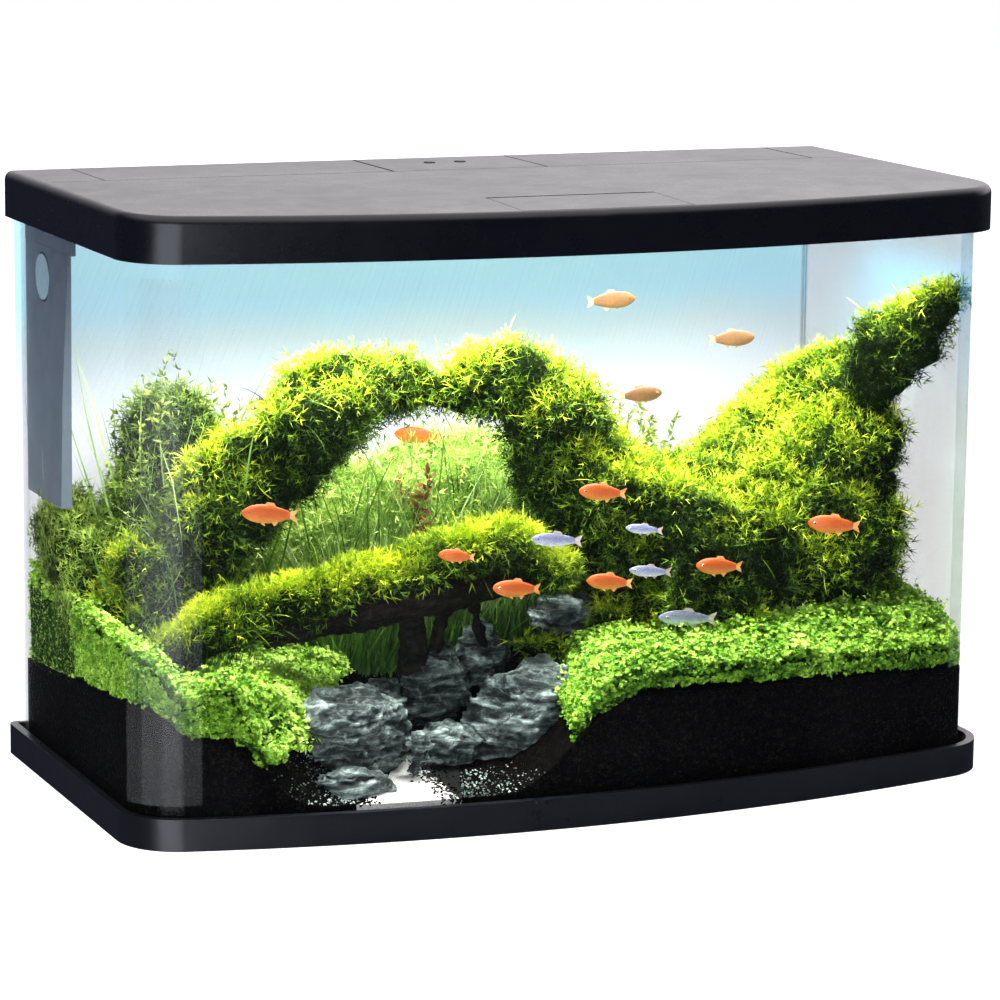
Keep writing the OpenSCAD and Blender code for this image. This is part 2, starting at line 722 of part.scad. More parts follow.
// Limb swept along a curve of [x, y, z, radius]
module limb(p, n, sides) {
    c = spline(p, n);
    m = len(c);
    function spot(i) = [c[i][0], c[i][1], c[i][2]];
    function along(i) = unit(spot(min(i + 1, m - 1)) - spot(max(i - 1, 0)));
    rings = [for (i = [0:m - 1]) let (t = along(i), u = unit(cross([0, 1, 0.01], t)), w = cross(t, u))
        for (k = [0:sides - 1]) spot(i) + c[i][3] * (u * cos(360 * k / sides) + w * sin(360 * k / sides))];
    polyhedron(
        concat(rings, [spot(0) - along(0) * c[0][3] / 2, spot(m - 1) + along(m - 1) * c[m - 1][3] / 2]),
        concat(
            [for (i = [0:m - 2], k = [0:sides - 1])
                let (a = i * sides + k, b = i * sides + (k + 1) % sides) each [
                    [a + sides, b + sides, b], [a + sides, b, a]]],
            [for (k = [0:sides - 1]) each [
                [m * sides, k, (k + 1) % sides],
                [m * sides + 1, (m - 1) * sides + (k + 1) % sides, (m - 1) * sides + k]]]));
}

module driftwood() {
    color([0.26, 0.17, 0.1]) {
        limb([[-196, -48, 118, 8], [-120, -52, 132, 14], [-60, -44, 138, 14], [0, -34, 138, 8]], 4, 10);
        limb([[-92, -40, 139, 8], [-84, -32, 104, 9], [-82, -26, 72, 10]], 4, 10);
        limb([[-58, -36, 141, 4], [-63, -28, 108, 4], [-66, -20, 74, 5]], 4, 8);
        limb([[-44, -36, 141, 4], [-34, -26, 106, 4], [-20, -14, 72, 5]], 4, 8);
    }
}

module moss_arch() {
    color([0.42, 0.6, 0.1]) limb([[-262, 42, 112, 31], [-230, 32, 150, 35], [-172, 12, 218, 32],
        [-118, 4, 263, 28], [-82, 2, 270, 19], [-54, 2, 263, 13], [2, 0, 262, 28], [50, -8, 208, 37],
        [108, -16, 140, 40], [182, -22, 92, 34]], 4, 14);
}

module moss_mound() {
    ridge_y = 20;
    ridge_half = 124;
    // Height of the mound over its foot, growing towards the side pane
    function rise(x) = mix(96, 164, smooth((x - 150) / 120));
    color([0.46, 0.62, 0.1]) {
        ground(function(v) 84, function(v) 268, 0.2, 0.92,
            function(x, v) 112 + rise(x)
                * sqrt(max(0, 1 - pow((y_of(x, v) - ridge_y) / ridge_half, 2))),
            function(x, v) right_bank(x, v) + 2, 14, 12, 0);
        limb([[236, 6, 214, 30], [256, -38, 262, 24], [268, -72, 300, 20], [281, -98, 330, 14]], 4, 12);
        rock([8, -34, 84], [44, 34, 38], [0, 0, 0], 31);
        rock([76, -18, 94], [52, 34, 34], [0, 10, 0], 37);
    }
}

module moss_branch() {
    color([0.44, 0.6, 0.12]) limb([[-262, -38, 98, 16], [-226, -46, 124, 20], [-160, -52, 142, 17],
        [-84, -50, 158, 16], [-26, -42, 162, 18], [20, -34, 142, 14]], 4, 12);
}

// Upright plants, each a tapered clump at [x, y] from its foot to its top
module clump(x, y, z0, z1, r) {
    translate([x, y, z0]) cylinder(h = z1 - z0, r1 = r * 0.7, r2 = r, $fn = 24);
}

module stem_plants() {
    color([0.36, 0.46, 0.16]) {
        clump(-276, 98, 62, 182, 19);
        clump(-278, 134, 62, 180, 17);
        clump(-224, 92, 62, 236, 20);
        clump(-184, 104, 66, 250, 18);
        clump(-146, 116, 70, 222, 16);
        clump(146, 134, 104, 214, 16);
    }
}

module hair_grass() {
    color([0.4, 0.62, 0.2]) for (i = [0:5])
        clump(-108 + 30 * i, 92 + 12 * sin(140 * i), 86, 146 + 10 * sin(200 * i), 11);
}

base_frame();
bottom_glass();
front_glass();
rear_glass();
corner_silicone();
bottom_silicone();
backdrop_film();
top_rim();
hinge_brackets();
hinge_pins();
filter_housing();
filter_cap();
suction_cup();
filter_sponge();
pump_body();
pump_cover();
impeller_shaft();
impeller();
soil_left();
soil_right();
sand_path();
stones_left();
stones_right();
driftwood();
moss_arch();
moss_mound();
moss_branch();
carpet_left();
carpet_right();
stem_plants();
hair_grass();
hood_shell();
hinge_arms();
control_panel();
switch_board();
led_housing();
led_board();
led_lens();
led_screws();
hatch_rod();
power_inlet();
feed_hatch();
left_cover();
right_cover();
day_button();
night_button();
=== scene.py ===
"""Looks of the planted bow-front aquarium, in metres, in the CAD's own frame."""
import bpy
import math
import numpy as np
from mathutils import Matrix, Vector


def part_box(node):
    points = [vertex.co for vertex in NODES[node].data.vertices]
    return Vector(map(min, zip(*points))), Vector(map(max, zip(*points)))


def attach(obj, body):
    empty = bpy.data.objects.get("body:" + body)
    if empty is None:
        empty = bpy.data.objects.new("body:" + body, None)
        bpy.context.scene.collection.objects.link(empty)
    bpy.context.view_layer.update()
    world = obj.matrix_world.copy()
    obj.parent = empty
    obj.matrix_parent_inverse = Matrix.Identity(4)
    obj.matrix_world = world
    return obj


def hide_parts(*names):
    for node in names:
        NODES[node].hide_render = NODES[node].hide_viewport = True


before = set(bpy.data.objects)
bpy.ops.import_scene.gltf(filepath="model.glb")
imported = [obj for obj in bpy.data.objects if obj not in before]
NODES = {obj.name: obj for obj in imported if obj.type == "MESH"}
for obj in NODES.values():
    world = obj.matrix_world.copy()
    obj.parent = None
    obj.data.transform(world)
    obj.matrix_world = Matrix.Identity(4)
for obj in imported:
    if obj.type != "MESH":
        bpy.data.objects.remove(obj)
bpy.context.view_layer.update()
SCENE = bpy.context.scene

# The plan that part.scad gives the tank: how far the front bows, the radius of its front corners,
# and the step from the base's outline in to the inner face of the glass
HALF_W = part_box("base_frame")[1].x
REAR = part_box("base_frame")[1].y
BOW = 0.0412
CORNER_R = 0.0425
GLASS_INNER = 0.011
BOW_R = (HALF_W ** 2 + BOW ** 2) / (2 * BOW)
BOW_Y = -REAR + BOW_R
CORNER_X = HALF_W - CORNER_R
CORNER_Y = BOW_Y - math.sqrt((BOW_R - CORNER_R) ** 2 - CORNER_X ** 2)
BEND_X, BEND_Y = 0.268, -0.0899  # centre of the bend in the glass at its right front corner
BEND_OUTER = 0.0423  # radius just outside that bend
HOOD_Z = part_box("hood_shell")[0].z


# ---------------------------------------------------------------- camera

def look_from(azimuth, elevation, roll):
    """Rotation of a camera that looks at the tank from these angles, in degrees."""
    az, el, ro = (math.radians(a) for a in (azimuth, elevation, roll))
    back = Vector((math.sin(az) * math.cos(el), -math.cos(az) * math.cos(el), math.sin(el)))
    right = (-back).cross(Vector((0, 0, 1))).normalized()
    up = right.cross(-back)
    right, up = right * math.cos(ro) + up * math.sin(ro), up * math.cos(ro) - right * math.sin(ro)
    return Matrix((right, up, back)).transposed()


def make_camera():
    """A long lens, in front of the tank and to its left, a little above it."""
    data = bpy.data.cameras.new("camera")
    data.sensor_width = 36
    data.lens = 145.7
    camera = bpy.data.objects.new("camera", data)
    camera.matrix_world = (Matrix.Translation((-1.0611, -2.4999, 0.6923))
                           @ look_from(-22.84, 10.53, 0.632).to_4x4())
    SCENE.collection.objects.link(camera)
    SCENE.camera = camera


# ---------------------------------------------------------------- shader nodes

class Nodes:
    """Short calls for the shader nodes of a material or of the world, measured from one place."""

    def __init__(self, tree, measure):
        self.tree = tree
        self.where = self.node("ShaderNodeTexCoord").outputs[measure]

    def node(self, kind, **settings):
        made = self.tree.nodes.new(kind)
        for key, value in settings.items():
            setattr(made, key, value)
        return made

    def feed(self, node, socket, value):
        """Sets a socket to a number, or links another node's output to it."""
        if isinstance(value, bpy.types.NodeSocket):
            self.tree.links.new(value, node.inputs[socket])
        else:
            node.inputs[socket].default_value = value

    def math(self, operation, a, b=0.5, clamp=False):
        made = self.node("ShaderNodeMath", operation=operation, use_clamp=clamp)
        self.feed(made, 0, a)
        self.feed(made, 1, b)
        return made.outputs[0]

    def noise(self, scale, detail=3, rough=0.55, where=None, distort=0.0):
        made = self.node("ShaderNodeTexNoise")
        self.feed(made, "Vector", where or self.where)
        for key, value in (("Scale", scale), ("Detail", detail), ("Roughness", rough),
                           ("Distortion", distort)):
            made.inputs[key].default_value = value
        return made.outputs["Fac"]

    def cells(self, scale, where=None, output="Distance"):
        made = self.node("ShaderNodeTexVoronoi")
        self.feed(made, "Vector", where or self.where)
        made.inputs["Scale"].default_value = scale
        return made.outputs[output]

    def kinds(self, scale):
        """A random number from 0 to 1 for each cell, the same all over it."""
        grey = self.node("ShaderNodeRGBToBW")
        self.feed(grey, 0, self.cells(scale, output="Color"))
        return grey.outputs[0]

    def along(self, axis):
        split = self.node("ShaderNodeSeparateXYZ")
        self.feed(split, 0, self.where)
        return split.outputs[axis]

    def height(self, scale, detail, waver, low=0.2, high=0.8):
        """Height in metres, wavering by this much either way."""
        drift = self.span(self.noise(scale, detail), low, high, -waver, waver)
        return self.math("ADD", self.along("Z"), drift)

    def blend(self, a, b, share):
        """Two numbers added together, this share of a and the rest of b."""
        return self.math("ADD", self.math("MULTIPLY", a, share), self.math("MULTIPLY", b, 1 - share))

    def stretch(self, x, y, z):
        made = self.node("ShaderNodeMapping")
        self.feed(made, "Vector", self.where)
        made.inputs["Scale"].default_value = (x, y, z)
        return made.outputs[0]

    def ramp(self, value, stops):
        made = self.node("ShaderNodeValToRGB")
        self.feed(made, "Fac", value)
        bar = made.color_ramp
        while len(bar.elements) < len(stops):
            bar.elements.new(0.5)
        for element, (place, colour) in zip(bar.elements, stops):
            element.position = place
            element.color = (*colour, 1)
        return made.outputs["Color"]

    def span(self, value, low, high, to_low=0.0, to_high=1.0, **settings):
        """The value mapped from low to high on to to_low to to_high, and held at the ends."""
        made = self.node("ShaderNodeMapRange", **settings)
        self.feed(made, "Value", value)
        for key, number in (("From Min", low), ("From Max", high), ("To Min", to_low), ("To Max", to_high)):
            made.inputs[key].default_value = number
        return made.outputs[0]

    def mix(self, factor, a, b, kind="MIX"):
        made = self.node("ShaderNodeMix", data_type="RGBA", blend_type=kind)
        self.feed(made, 0, factor)
        self.feed(made, 6, a)
        self.feed(made, 7, b)
        return made.outputs[2]

    def bump(self, height, distance, strength=1.0, over=None):
        made = self.node("ShaderNodeBump")
        self.feed(made, "Height", height)
        made.inputs["Distance"].default_value = distance
        made.inputs["Strength"].default_value = strength
        if over:
            self.feed(made, "Normal", over)
        return made.outputs[0]


class Look(Nodes):
    """A material whose colour, roughness and relief come from nodes, in the piece's own metres."""

    def __init__(self, name, **constants):
        self.material = bpy.data.materials.new(name)
        self.material.use_nodes = True
        super().__init__(self.material.node_tree, "Object")
        self.shader = self.tree.nodes["Principled BSDF"]
        for socket, value in constants.items():
            self.shader.inputs[socket.replace("_", " ")].default_value = value

    def colour(self, value, stops=None):
        """Base colour from a colour, or from a number through a ramp's stops."""
        self.feed(self.shader, "Base Color", self.ramp(value, stops) if stops else value)

    def roughness(self, value, at_low, at_high, low=0.3, high=0.7):
        """Roughness runs from at_low to at_high while value runs from low to high."""
        self.feed(self.shader, "Roughness", self.span(value, low, high, at_low, at_high))

    def relief(self, height, distance, strength=1.0, over=None):
        self.feed(self.shader, "Normal", self.bump(height, distance, strength, over))


# ---------------------------------------------------------------- studio

def make_world():
    """A white studio, with a dark side in front of the tank so that black plastic stays black."""
    world = bpy.data.worlds.new("studio")
    world.use_nodes = True
    world.node_tree.nodes.clear()
    sky = Nodes(world.node_tree, "Generated")

    def rises(axis, low, high):
        return sky.span(sky.along(axis), low, high, interpolation_type="SMOOTHSTEP")

    side = sky.math("MULTIPLY", rises("Z", -0.02, 0.17), rises("X", -0.45, 0.5))
    bright = sky.math("MAXIMUM", sky.math("MULTIPLY", rises("Y", -0.35, 0.3), side), rises("Z", 0.45, 0.95))
    studio = sky.node("ShaderNodeBackground")
    sky.feed(studio, "Color", sky.ramp(bright, [(0.0, (0.035, 0.038, 0.06)), (1.0, (1.5, 1.44, 1.5))]))
    paper = sky.node("ShaderNodeBackground")
    paper.inputs["Color"].default_value = (1, 1, 1, 1)
    mix = sky.node("ShaderNodeMixShader")
    for socket, value in enumerate((sky.node("ShaderNodeLightPath").outputs["Is Camera Ray"],
                                    studio.outputs[0], paper.outputs[0])):
        sky.feed(mix, socket, value)
    sky.feed(sky.node("ShaderNodeOutputWorld"), 0, mix.outputs[0])
    SCENE.world = world


def area_light(name, at, aim, size, power, colour=(1, 1, 1), glossy=True, spread=180):
    """A soft light that the camera can't see, and that shows in glossy surfaces only where glossy says."""
    data = bpy.data.lights.new(name, "AREA")
    data.shape = "RECTANGLE"
    data.size, data.size_y = size
    data.energy = power
    data.color = colour
    data.spread = math.radians(spread)
    light = bpy.data.objects.new(name, data)
    light.location = at
    light.rotation_euler = (Vector(aim) - Vector(at)).to_track_quat("-Z", "Y").to_euler()
    light.visible_glossy = glossy
    light.visible_camera = False
    SCENE.collection.objects.link(light)


def make_lights():
    """The tank's own lamp under the hood, the studio's fills, and a soft strip beside the left corner."""
    area_light("lamp_over_water", (0, -0.03, HOOD_Z - 0.001), (0, -0.03, 0), (0.54, 0.16), 5.8,
               (1.0, 1.0, 0.96), glossy=False, spread=125)
    area_light("front_fill", (-0.5, -2.3, 1.1), (0, 0, 0.2), (1.6, 1.2), 8, glossy=False)
    area_light("left_fill", (-2.3, -0.5, 0.8), (0, 0, 0.2), (1.0, 1.0), 20, glossy=False)
    area_light("top_softbox", (0.2, 0.3, 2.2), (0, 0, 0.3), (2.2, 2.2), 36, glossy=False)
    area_light("corner_strip", (-1.45, -1.8, 0.05), (-0.29, -0.12, 0.05), (1.7, 2.4), 40, (0.85, 0.9, 1.0))


# ---------------------------------------------------------------- materials

def moulded_plastic(name, dark, light, rough):
    """Injection-moulded plastic: a fine spark-eroded grain, faint tone drift and handling marks."""
    look = Look(name)
    drift = look.noise(9, 4)
    marks = look.noise(48, 4, 0.6)
    look.colour(look.blend(drift, marks, 0.7), [(0.3, dark), (0.75, light)])
    look.roughness(look.math("ADD", drift, marks), rough - 0.03, rough + 0.05, 0.7, 1.3)
    waves = look.bump(look.noise(14, 2), 0.0003, 0.08)
    look.relief(look.cells(1600), 0.00003, 0.5, over=waves)
    return look.material


def clear_glass(name):
    """Float glass: nearly all light goes straight through, with a faint water film on it."""
    look = Look(name, Alpha=0.11, Specular_IOR_Level=1.0)
    film = look.noise(30, 4, where=look.stretch(1, 1, 0.25))
    look.colour(film, [(0.35, (0.001, 0.0015, 0.0015)), (0.65, (0.006, 0.008, 0.0075))])
    look.roughness(film, 0.16, 0.24)
    return look.material


def backdrop_film():
    """Printed sheet behind the tank: sky blue at the top, fading to white, and plain on its back. Its front
    glows with painted backlight, in place of the studio light that shines through it.
    """
    look = Look("backdrop_film", Roughness=0.6, Specular_IOR_Level=0.2)
    place = look.span(look.height(6, 2, 0.012), 0.16, 0.375)
    printed = look.ramp(place, [(0.15, (0.6, 0.62, 0.63)), (0.36, (0.52, 0.6, 0.62)),
                                (0.58, (0.42, 0.56, 0.62)), (0.77, (0.33, 0.55, 0.64)),
                                (1.0, (0.34, 0.55, 0.64))])
    painted_backlight = look.ramp(place, [(0.1, (0.85, 0.85, 0.9)), (0.36, (0.82, 0.84, 0.94)),
                             (0.56, (0.6, 0.7, 0.77)), (0.68, (0.46, 0.77, 0.97)),
                             (0.79, (0.47, 0.78, 0.93)), (1.0, (0.5, 0.8, 0.94))])
    facing = look.node("ShaderNodeSeparateXYZ")
    look.feed(facing, 0, look.node("ShaderNodeNewGeometry").outputs["Normal"])
    behind = look.span(facing.outputs["Y"], 0.3, 0.7)
    look.colour(look.mix(behind, printed, (0.5, 0.53, 0.55, 1)))
    # Painted backlight: the front side glows and the back has no glow
    look.feed(look.shader, "Emission Color", look.mix(behind, painted_backlight, (0, 0, 0, 1)))
    look.shader.inputs["Emission Strength"].default_value = 1.0
    look.relief(look.noise(900, 2), 0.00002, 0.2)
    return look.material


def filter_plastic():
    """Blue-grey plastic, darker towards its top."""
    look = Look("filter_plastic")
    look.colour(look.span(look.height(12, 3, 0.02), 0.08, 0.37),
                [(0.0, (0.15, 0.17, 0.2)), (0.55, (0.115, 0.15, 0.19)), (1.0, (0.07, 0.09, 0.13))])
    look.roughness(look.noise(40, 4), 0.35, 0.5)
    look.relief(look.cells(1400), 0.00003, 0.4)
    return look.material


def soil_grains():
    """Black planting soil: packed 2 mm granules with a few brown ones."""
    look = Look("aquasoil", Specular_IOR_Level=0.03)
    grains = look.cells(520)
    look.colour(look.kinds(520), [(0.0, (0.0008, 0.0007, 0.0006)), (0.7, (0.0022, 0.0018, 0.0015)),
                                  (1.0, (0.012, 0.009, 0.007))])
    look.roughness(grains, 0.95, 0.7, 0.0, 0.8)
    look.relief(look.math("SUBTRACT", 1.0, grains), 0.0012, 0.9)
    return look.material


def sand_grains():
    """White sand in cool and warm patches, with black soil grains fallen on to its two edges."""
    look = Look("white_sand", Specular_IOR_Level=0.3)
    grains = look.cells(1100)
    kinds = look.kinds(1100)
    cool = look.ramp(kinds, [(0.0, (0.5, 0.5, 0.48)), (0.3, (0.72, 0.74, 0.73)), (1.0, (0.86, 0.88, 0.88))])
    warm = look.ramp(kinds, [(0.0, (0.45, 0.42, 0.37)), (1.0, (0.85, 0.83, 0.78))])
    sand = look.mix(look.span(look.noise(30, 3), 0.35, 0.7), cool, warm)
    middle = -0.134  # x of the path's middle line
    offset = look.math("ABSOLUTE", look.math("ADD", look.along("X"), -middle))
    frayed = look.math("ADD", offset, look.math("MULTIPLY", look.noise(60, 3), 0.03))
    fallen = look.math("LESS_THAN", look.kinds(620), look.span(frayed, 0.038, 0.058))
    look.colour(look.mix(fallen, sand, (0.006, 0.006, 0.006, 1)))
    look.roughness(grains, 0.9, 0.6, 0.0, 0.8)
    look.relief(look.math("SUBTRACT", 1.0, grains), 0.0006, 0.8)
    return look.material


def veined_stone():
    """Grey-green layered rock with a few thin veins; its ridges are pale with painted highlight and its
    folds dark with painted shade.
    """
    look = Look("veined_stone", Specular_IOR_Level=0.5)
    body = look.noise(34, 8, 0.68, where=look.stretch(0.8, 1, 3.2), distort=0.7)
    base = look.ramp(body, [(0.37, (0.004, 0.007, 0.007)), (0.47, (0.03, 0.046, 0.044)),
                            (0.56, (0.15, 0.2, 0.19)), (0.66, (0.5, 0.6, 0.57))])
    veins = look.node("ShaderNodeTexWave", wave_type="BANDS", bands_direction="DIAGONAL", wave_profile="SIN")
    look.feed(veins, "Vector", look.stretch(1, 0.7, 1.8))
    for key, value in (("Scale", 16), ("Distortion", 14), ("Detail", 6), ("Detail Scale", 2.4)):
        veins.inputs[key].default_value = value
    pale = look.ramp(veins.outputs["Fac"], [(0.93, (0, 0, 0)), (1.0, (0.14, 0.14, 0.14))])
    coloured = look.mix(pale, base, (0.62, 0.72, 0.69, 1))
    folds = look.node("ShaderNodeNewGeometry").outputs["Pointiness"]
    # Painted shade in the folds and painted highlight on the ridges, by how pointy the surface is
    painted_ridge_highlight_fold_shade = look.ramp(folds, [(0.43, (0.1, 0.1, 0.1)), (0.5, (0.7, 0.7, 0.7)), (0.57, (1.6, 1.65, 1.6))])
    look.colour(look.mix(1.0, coloured, painted_ridge_highlight_fold_shade, "MULTIPLY"))
    look.roughness(body, 0.75, 0.5, 0.3, 0.8)
    look.relief(look.noise(260, 6, 0.7), 0.0008, 0.7, over=look.bump(body, 0.003, 0.7))
    return look.material


def soaked_wood():
    """Dark waterlogged root, streaked along its length."""
    look = Look("soaked_wood", Specular_IOR_Level=0.35)
    streaks = look.noise(90, 6, 0.7, where=look.stretch(0.35, 1, 1), distort=0.8)
    look.colour(streaks, [(0.3, (0.0012, 0.0008, 0.0006)), (0.5, (0.005, 0.003, 0.002)),
                          (0.72, (0.02, 0.012, 0.006))])
    look.roughness(streaks, 0.85, 0.6)
    look.relief(streaks, 0.0025, 0.9)
    return look.material


def leaf_look(name, stops, patch_scale, patch_push, rough=0.55):
    """Leaf green by the piece's own tint, which runs from its shaded foot to its lit tip."""
    look = Look(name, Specular_IOR_Level=0.3)
    tint = look.node("ShaderNodeAttribute", attribute_name="tint").outputs["Fac"]
    patch = look.span(look.noise(patch_scale, 3), 0.3, 0.7, -patch_push, patch_push)
    look.colour(look.math("ADD", tint, patch, clamp=True), stops)
    look.roughness(look.noise(600, 2), rough - 0.08, rough + 0.1)
    return look.material


def algae_and_reflection_film():
    """See-through streaks of algae whose colours also paint the pane's reflection of the tank: grass green
    low down by the plants, grey-green above, and sky blue at the top from the backdrop.
    """
    look = Look("algae_and_reflection_film", Alpha=0.26, Roughness=0.8, Specular_IOR_Level=0.1)
    streaks = look.noise(90, 5, 0.7, where=look.stretch(1, 1.6, 0.16))
    patch = look.noise(16, 3)
    grown_and_reflected = look.ramp(look.blend(streaks, patch, 0.6),
                      [(0.36, (0.05, 0.15, 0.07)), (0.47, (0.14, 0.3, 0.22)), (0.6, (0.32, 0.48, 0.45))])
    height = look.along("Z")
    # Painted reflection of the sky-blue backdrop at the top of the pane
    painted_backdrop_reflection = look.span(look.math("ADD", height, look.math("MULTIPLY", patch, 0.05)), 0.27, 0.35)
    # Painted reflection of the plants low down in the pane
    low = look.span(look.math("ADD", height, look.math("MULTIPLY", patch, 0.08)), 0.14, 0.26, 0.8, 0.0)
    grown_and_reflected = look.mix(low, grown_and_reflected, (0.14, 0.32, 0.06, 1))
    look.colour(look.mix(painted_backdrop_reflection, grown_and_reflected, (0.06, 0.46, 0.72, 1)))
    look.relief(streaks, 0.0003, 0.4)
    return look.material


MOSS_STOPS = [(0.0, (0.002, 0.006, 0.0008)), (0.22, (0.018, 0.05, 0.003)), (0.46, (0.15, 0.29, 0.009)),
              (0.72, (0.42, 0.57, 0.014)), (1.0, (0.76, 0.8, 0.035))]
PALE_MOSS_STOPS = [(0.0, (0.1, 0.2, 0.03)), (0.45, (0.42, 0.66, 0.1)), (1.0, (0.85, 0.95, 0.3))]
OLIVE_MOSS_STOPS = [(0.0, (0.006, 0.014, 0.002)), (0.3, (0.05, 0.11, 0.012)), (0.65, (0.24, 0.38, 0.04)),
                    (1.0, (0.5, 0.66, 0.12))]
CARPET_STOPS = [(0.0, (0.006, 0.02, 0.001)), (0.3, (0.04, 0.15, 0.005)), (0.55, (0.15, 0.38, 0.015)),
                (0.8, (0.36, 0.64, 0.05)), (1.0, (0.66, 0.88, 0.2))]
GRASS_STOPS = [(0.0, (0.02, 0.06, 0.01)), (0.4, (0.12, 0.28, 0.04)), (0.75, (0.32, 0.52, 0.13)),
               (1.0, (0.6, 0.74, 0.35))]


def core_look(name, dark, light):
    """Packed moss under the fronds: dark, soft and uneven. Its dark colour is partly the moss's own and
    partly painted shade deep among the fronds.
    """
    look = Look(name, Specular_IOR_Level=0.1)
    tufts = look.noise(420, 4, 0.7)
    look.colour(look.blend(tufts, look.noise(40, 3), 0.6), [(0.35, dark), (0.65, light)])
    look.roughness(tufts, 0.8, 0.95)
    look.relief(tufts, 0.003)
    return look.material


# ---------------------------------------------------------------- mesh helpers


def add_piece(name, mesh, look):
    """Puts a new mesh in the scene with its look and slot. It rides on root, as the whole layout does."""
    mesh.materials.clear()
    mesh.materials.append(MATERIALS[look])
    piece = bpy.data.objects.new(name, mesh)
    SCENE.collection.objects.link(piece)
    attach(piece, "root")
    return piece


def add_mesh(name, corners, faces, look, tint=None, smooth=False):
    """A piece from arrays: corners (n, 3), triangles (m, 3) and a tint for each corner."""
    mesh = bpy.data.meshes.new(name)
    mesh.vertices.add(len(corners))
    mesh.vertices.foreach_set("co", np.asarray(corners, np.float32).ravel())
    mesh.loops.add(faces.size)
    mesh.loops.foreach_set("vertex_index", faces.astype(np.int32).ravel())
    mesh.polygons.add(len(faces))
    mesh.polygons.foreach_set("loop_start", np.arange(0, faces.size, 3, dtype=np.int32))
    mesh.polygons.foreach_set("use_smooth", np.full(len(faces), smooth))
    if tint is not None:
        mesh.attributes.new("tint", "FLOAT", "POINT").data.foreach_set("value", tint.astype(np.float32))
    mesh.update(calc_edges=True)
    mesh.validate()
    return add_piece(name, mesh, look)


def triangles_of(mesh):
    """Corner places and triangle indices of a mesh, as arrays."""
    places = np.empty(len(mesh.vertices) * 3, np.float32)
    mesh.vertices.foreach_get("co", places)
    mesh.calc_loop_triangles()
    index = np.empty(len(mesh.loop_triangles) * 3, np.int32)
    mesh.loop_triangles.foreach_get("vertices", index)
    return places.reshape(-1, 3).astype(float), index.reshape(-1, 3)


def unit(v):
    return v / np.maximum(np.linalg.norm(v, axis=-1, keepdims=True), 1e-9)


def strewn(way, amount, count, rng):
    """This many directions or places, scattered by this amount round one vector or round each of many."""
    return np.asarray(way) + amount * rng.normal(size=(count, 3))


def ring_faces(rings, sides, start=0):
    """Triangles between neighbouring rings of corners, numbered from start."""
    faces = []
    for i in range(rings - 1):
        for k in range(sides):
            a, b = start + i * sides + k, start + i * sides + (k + 1) % sides
            faces += [(a, b, a + sides), (b, b + sides, a + sides)]
    return faces


def spread_over(mesh, count, rng, keep=None):
    """Random places on a mesh, and their outward normals; keep picks which normals and places stay."""
    places, index = triangles_of(mesh)
    a, b, c = (places[index[:, k]] for k in range(3))
    cross = np.cross(b - a, c - a)
    area = np.linalg.norm(cross, axis=1)
    normal = unit(cross)
    if keep is not None:
        area = area * keep((a + b + c) / 3, normal)
    pick = rng.choice(len(area), count, p=area / area.sum())
    u, v = rng.random((2, count))
    flip = u + v > 1
    u[flip], v[flip] = 1 - u[flip], 1 - v[flip]
    at = a[pick] + (b[pick] - a[pick]) * u[:, None] + (c[pick] - a[pick]) * v[:, None]
    return at, normal[pick]


def value_noise(at, scale, seed):
    """Smooth noise from 0 to 1 at many places at once."""
    p = at * scale + seed * 17.13
    cell = np.floor(p)
    f = p - cell
    f = f * f * (3 - 2 * f)
    total = 0
    for dx in (0, 1):
        for dy in (0, 1):
            for dz in (0, 1):
                corner = cell + (dx, dy, dz)
                h = np.sin(corner @ np.array((127.1, 311.7, 74.7)) + seed * 3.7) * 43758.5453
                weight = ((f[:, 0] if dx else 1 - f[:, 0]) * (f[:, 1] if dy else 1 - f[:, 1])
                          * (f[:, 2] if dz else 1 - f[:, 2]))
                total = total + (h - np.floor(h)) * weight
    return total


def keep_inside(at, margin):
    """Moves places that stand outside the glass back to this far inside it."""
    at = at.copy()
    step = GLASS_INNER + margin
    at[:, 0] = np.clip(at[:, 0], -HALF_W + step, HALF_W - step)
    at[:, 1] = np.minimum(at[:, 1], REAR - step)
    corner = (np.abs(at[:, 0]) > CORNER_X) & (at[:, 1] < CORNER_Y)
    for mask, centre_x, centre_y, radius in (
            (~corner & (at[:, 1] < CORNER_Y), 0 * at[:, 0], BOW_Y, BOW_R - step),
            (corner, np.sign(at[:, 0]) * CORNER_X, CORNER_Y, CORNER_R - step)):
        dx, dy = at[:, 0] - centre_x, at[:, 1] - centre_y
        far = np.hypot(dx, dy)
        out = mask & (far > radius)
        at[out, 0] = (centre_x + dx * radius / np.maximum(far, 1e-9))[out]
        at[out, 1] = (centre_y + dy * radius / np.maximum(far, 1e-9))[out]
    return at


def scatter(name, pattern, at, grow, size, tint, rng, look, replaces=(), darkest=0.02):
    """One piece made of many copies of a small pattern, each turned so that it grows along grow."""
    corners, faces, rise = pattern
    grow = unit(grow)
    side = unit(np.cross(rng.normal(size=grow.shape), grow))
    front = np.cross(grow, side)
    n, k = len(at), len(corners)
    tint = np.clip(tint, darkest, 1)
    turned = (corners[:, 0:1] * side[:, None, :] + corners[:, 1:2] * front[:, None, :]
              + corners[:, 2:3] * grow[:, None, :])
    spots = at[:, None, :] + size[:, None, None] * turned
    # Painted shade at each copy's foot and painted light at its tip, by how far each corner rises
    shade = np.clip(tint[:, None] * (0.3 + 0.75 * rise) + 0.12 * (rise - 0.6), 0, 1)
    index = (np.arange(n)[:, None, None] * k + faces).reshape(-1, 3)
    piece = add_mesh(name, keep_inside(spots.reshape(-1, 3), 0.0004), index, look, shade.ravel())
    if replaces:
        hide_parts(*replaces)
    return piece


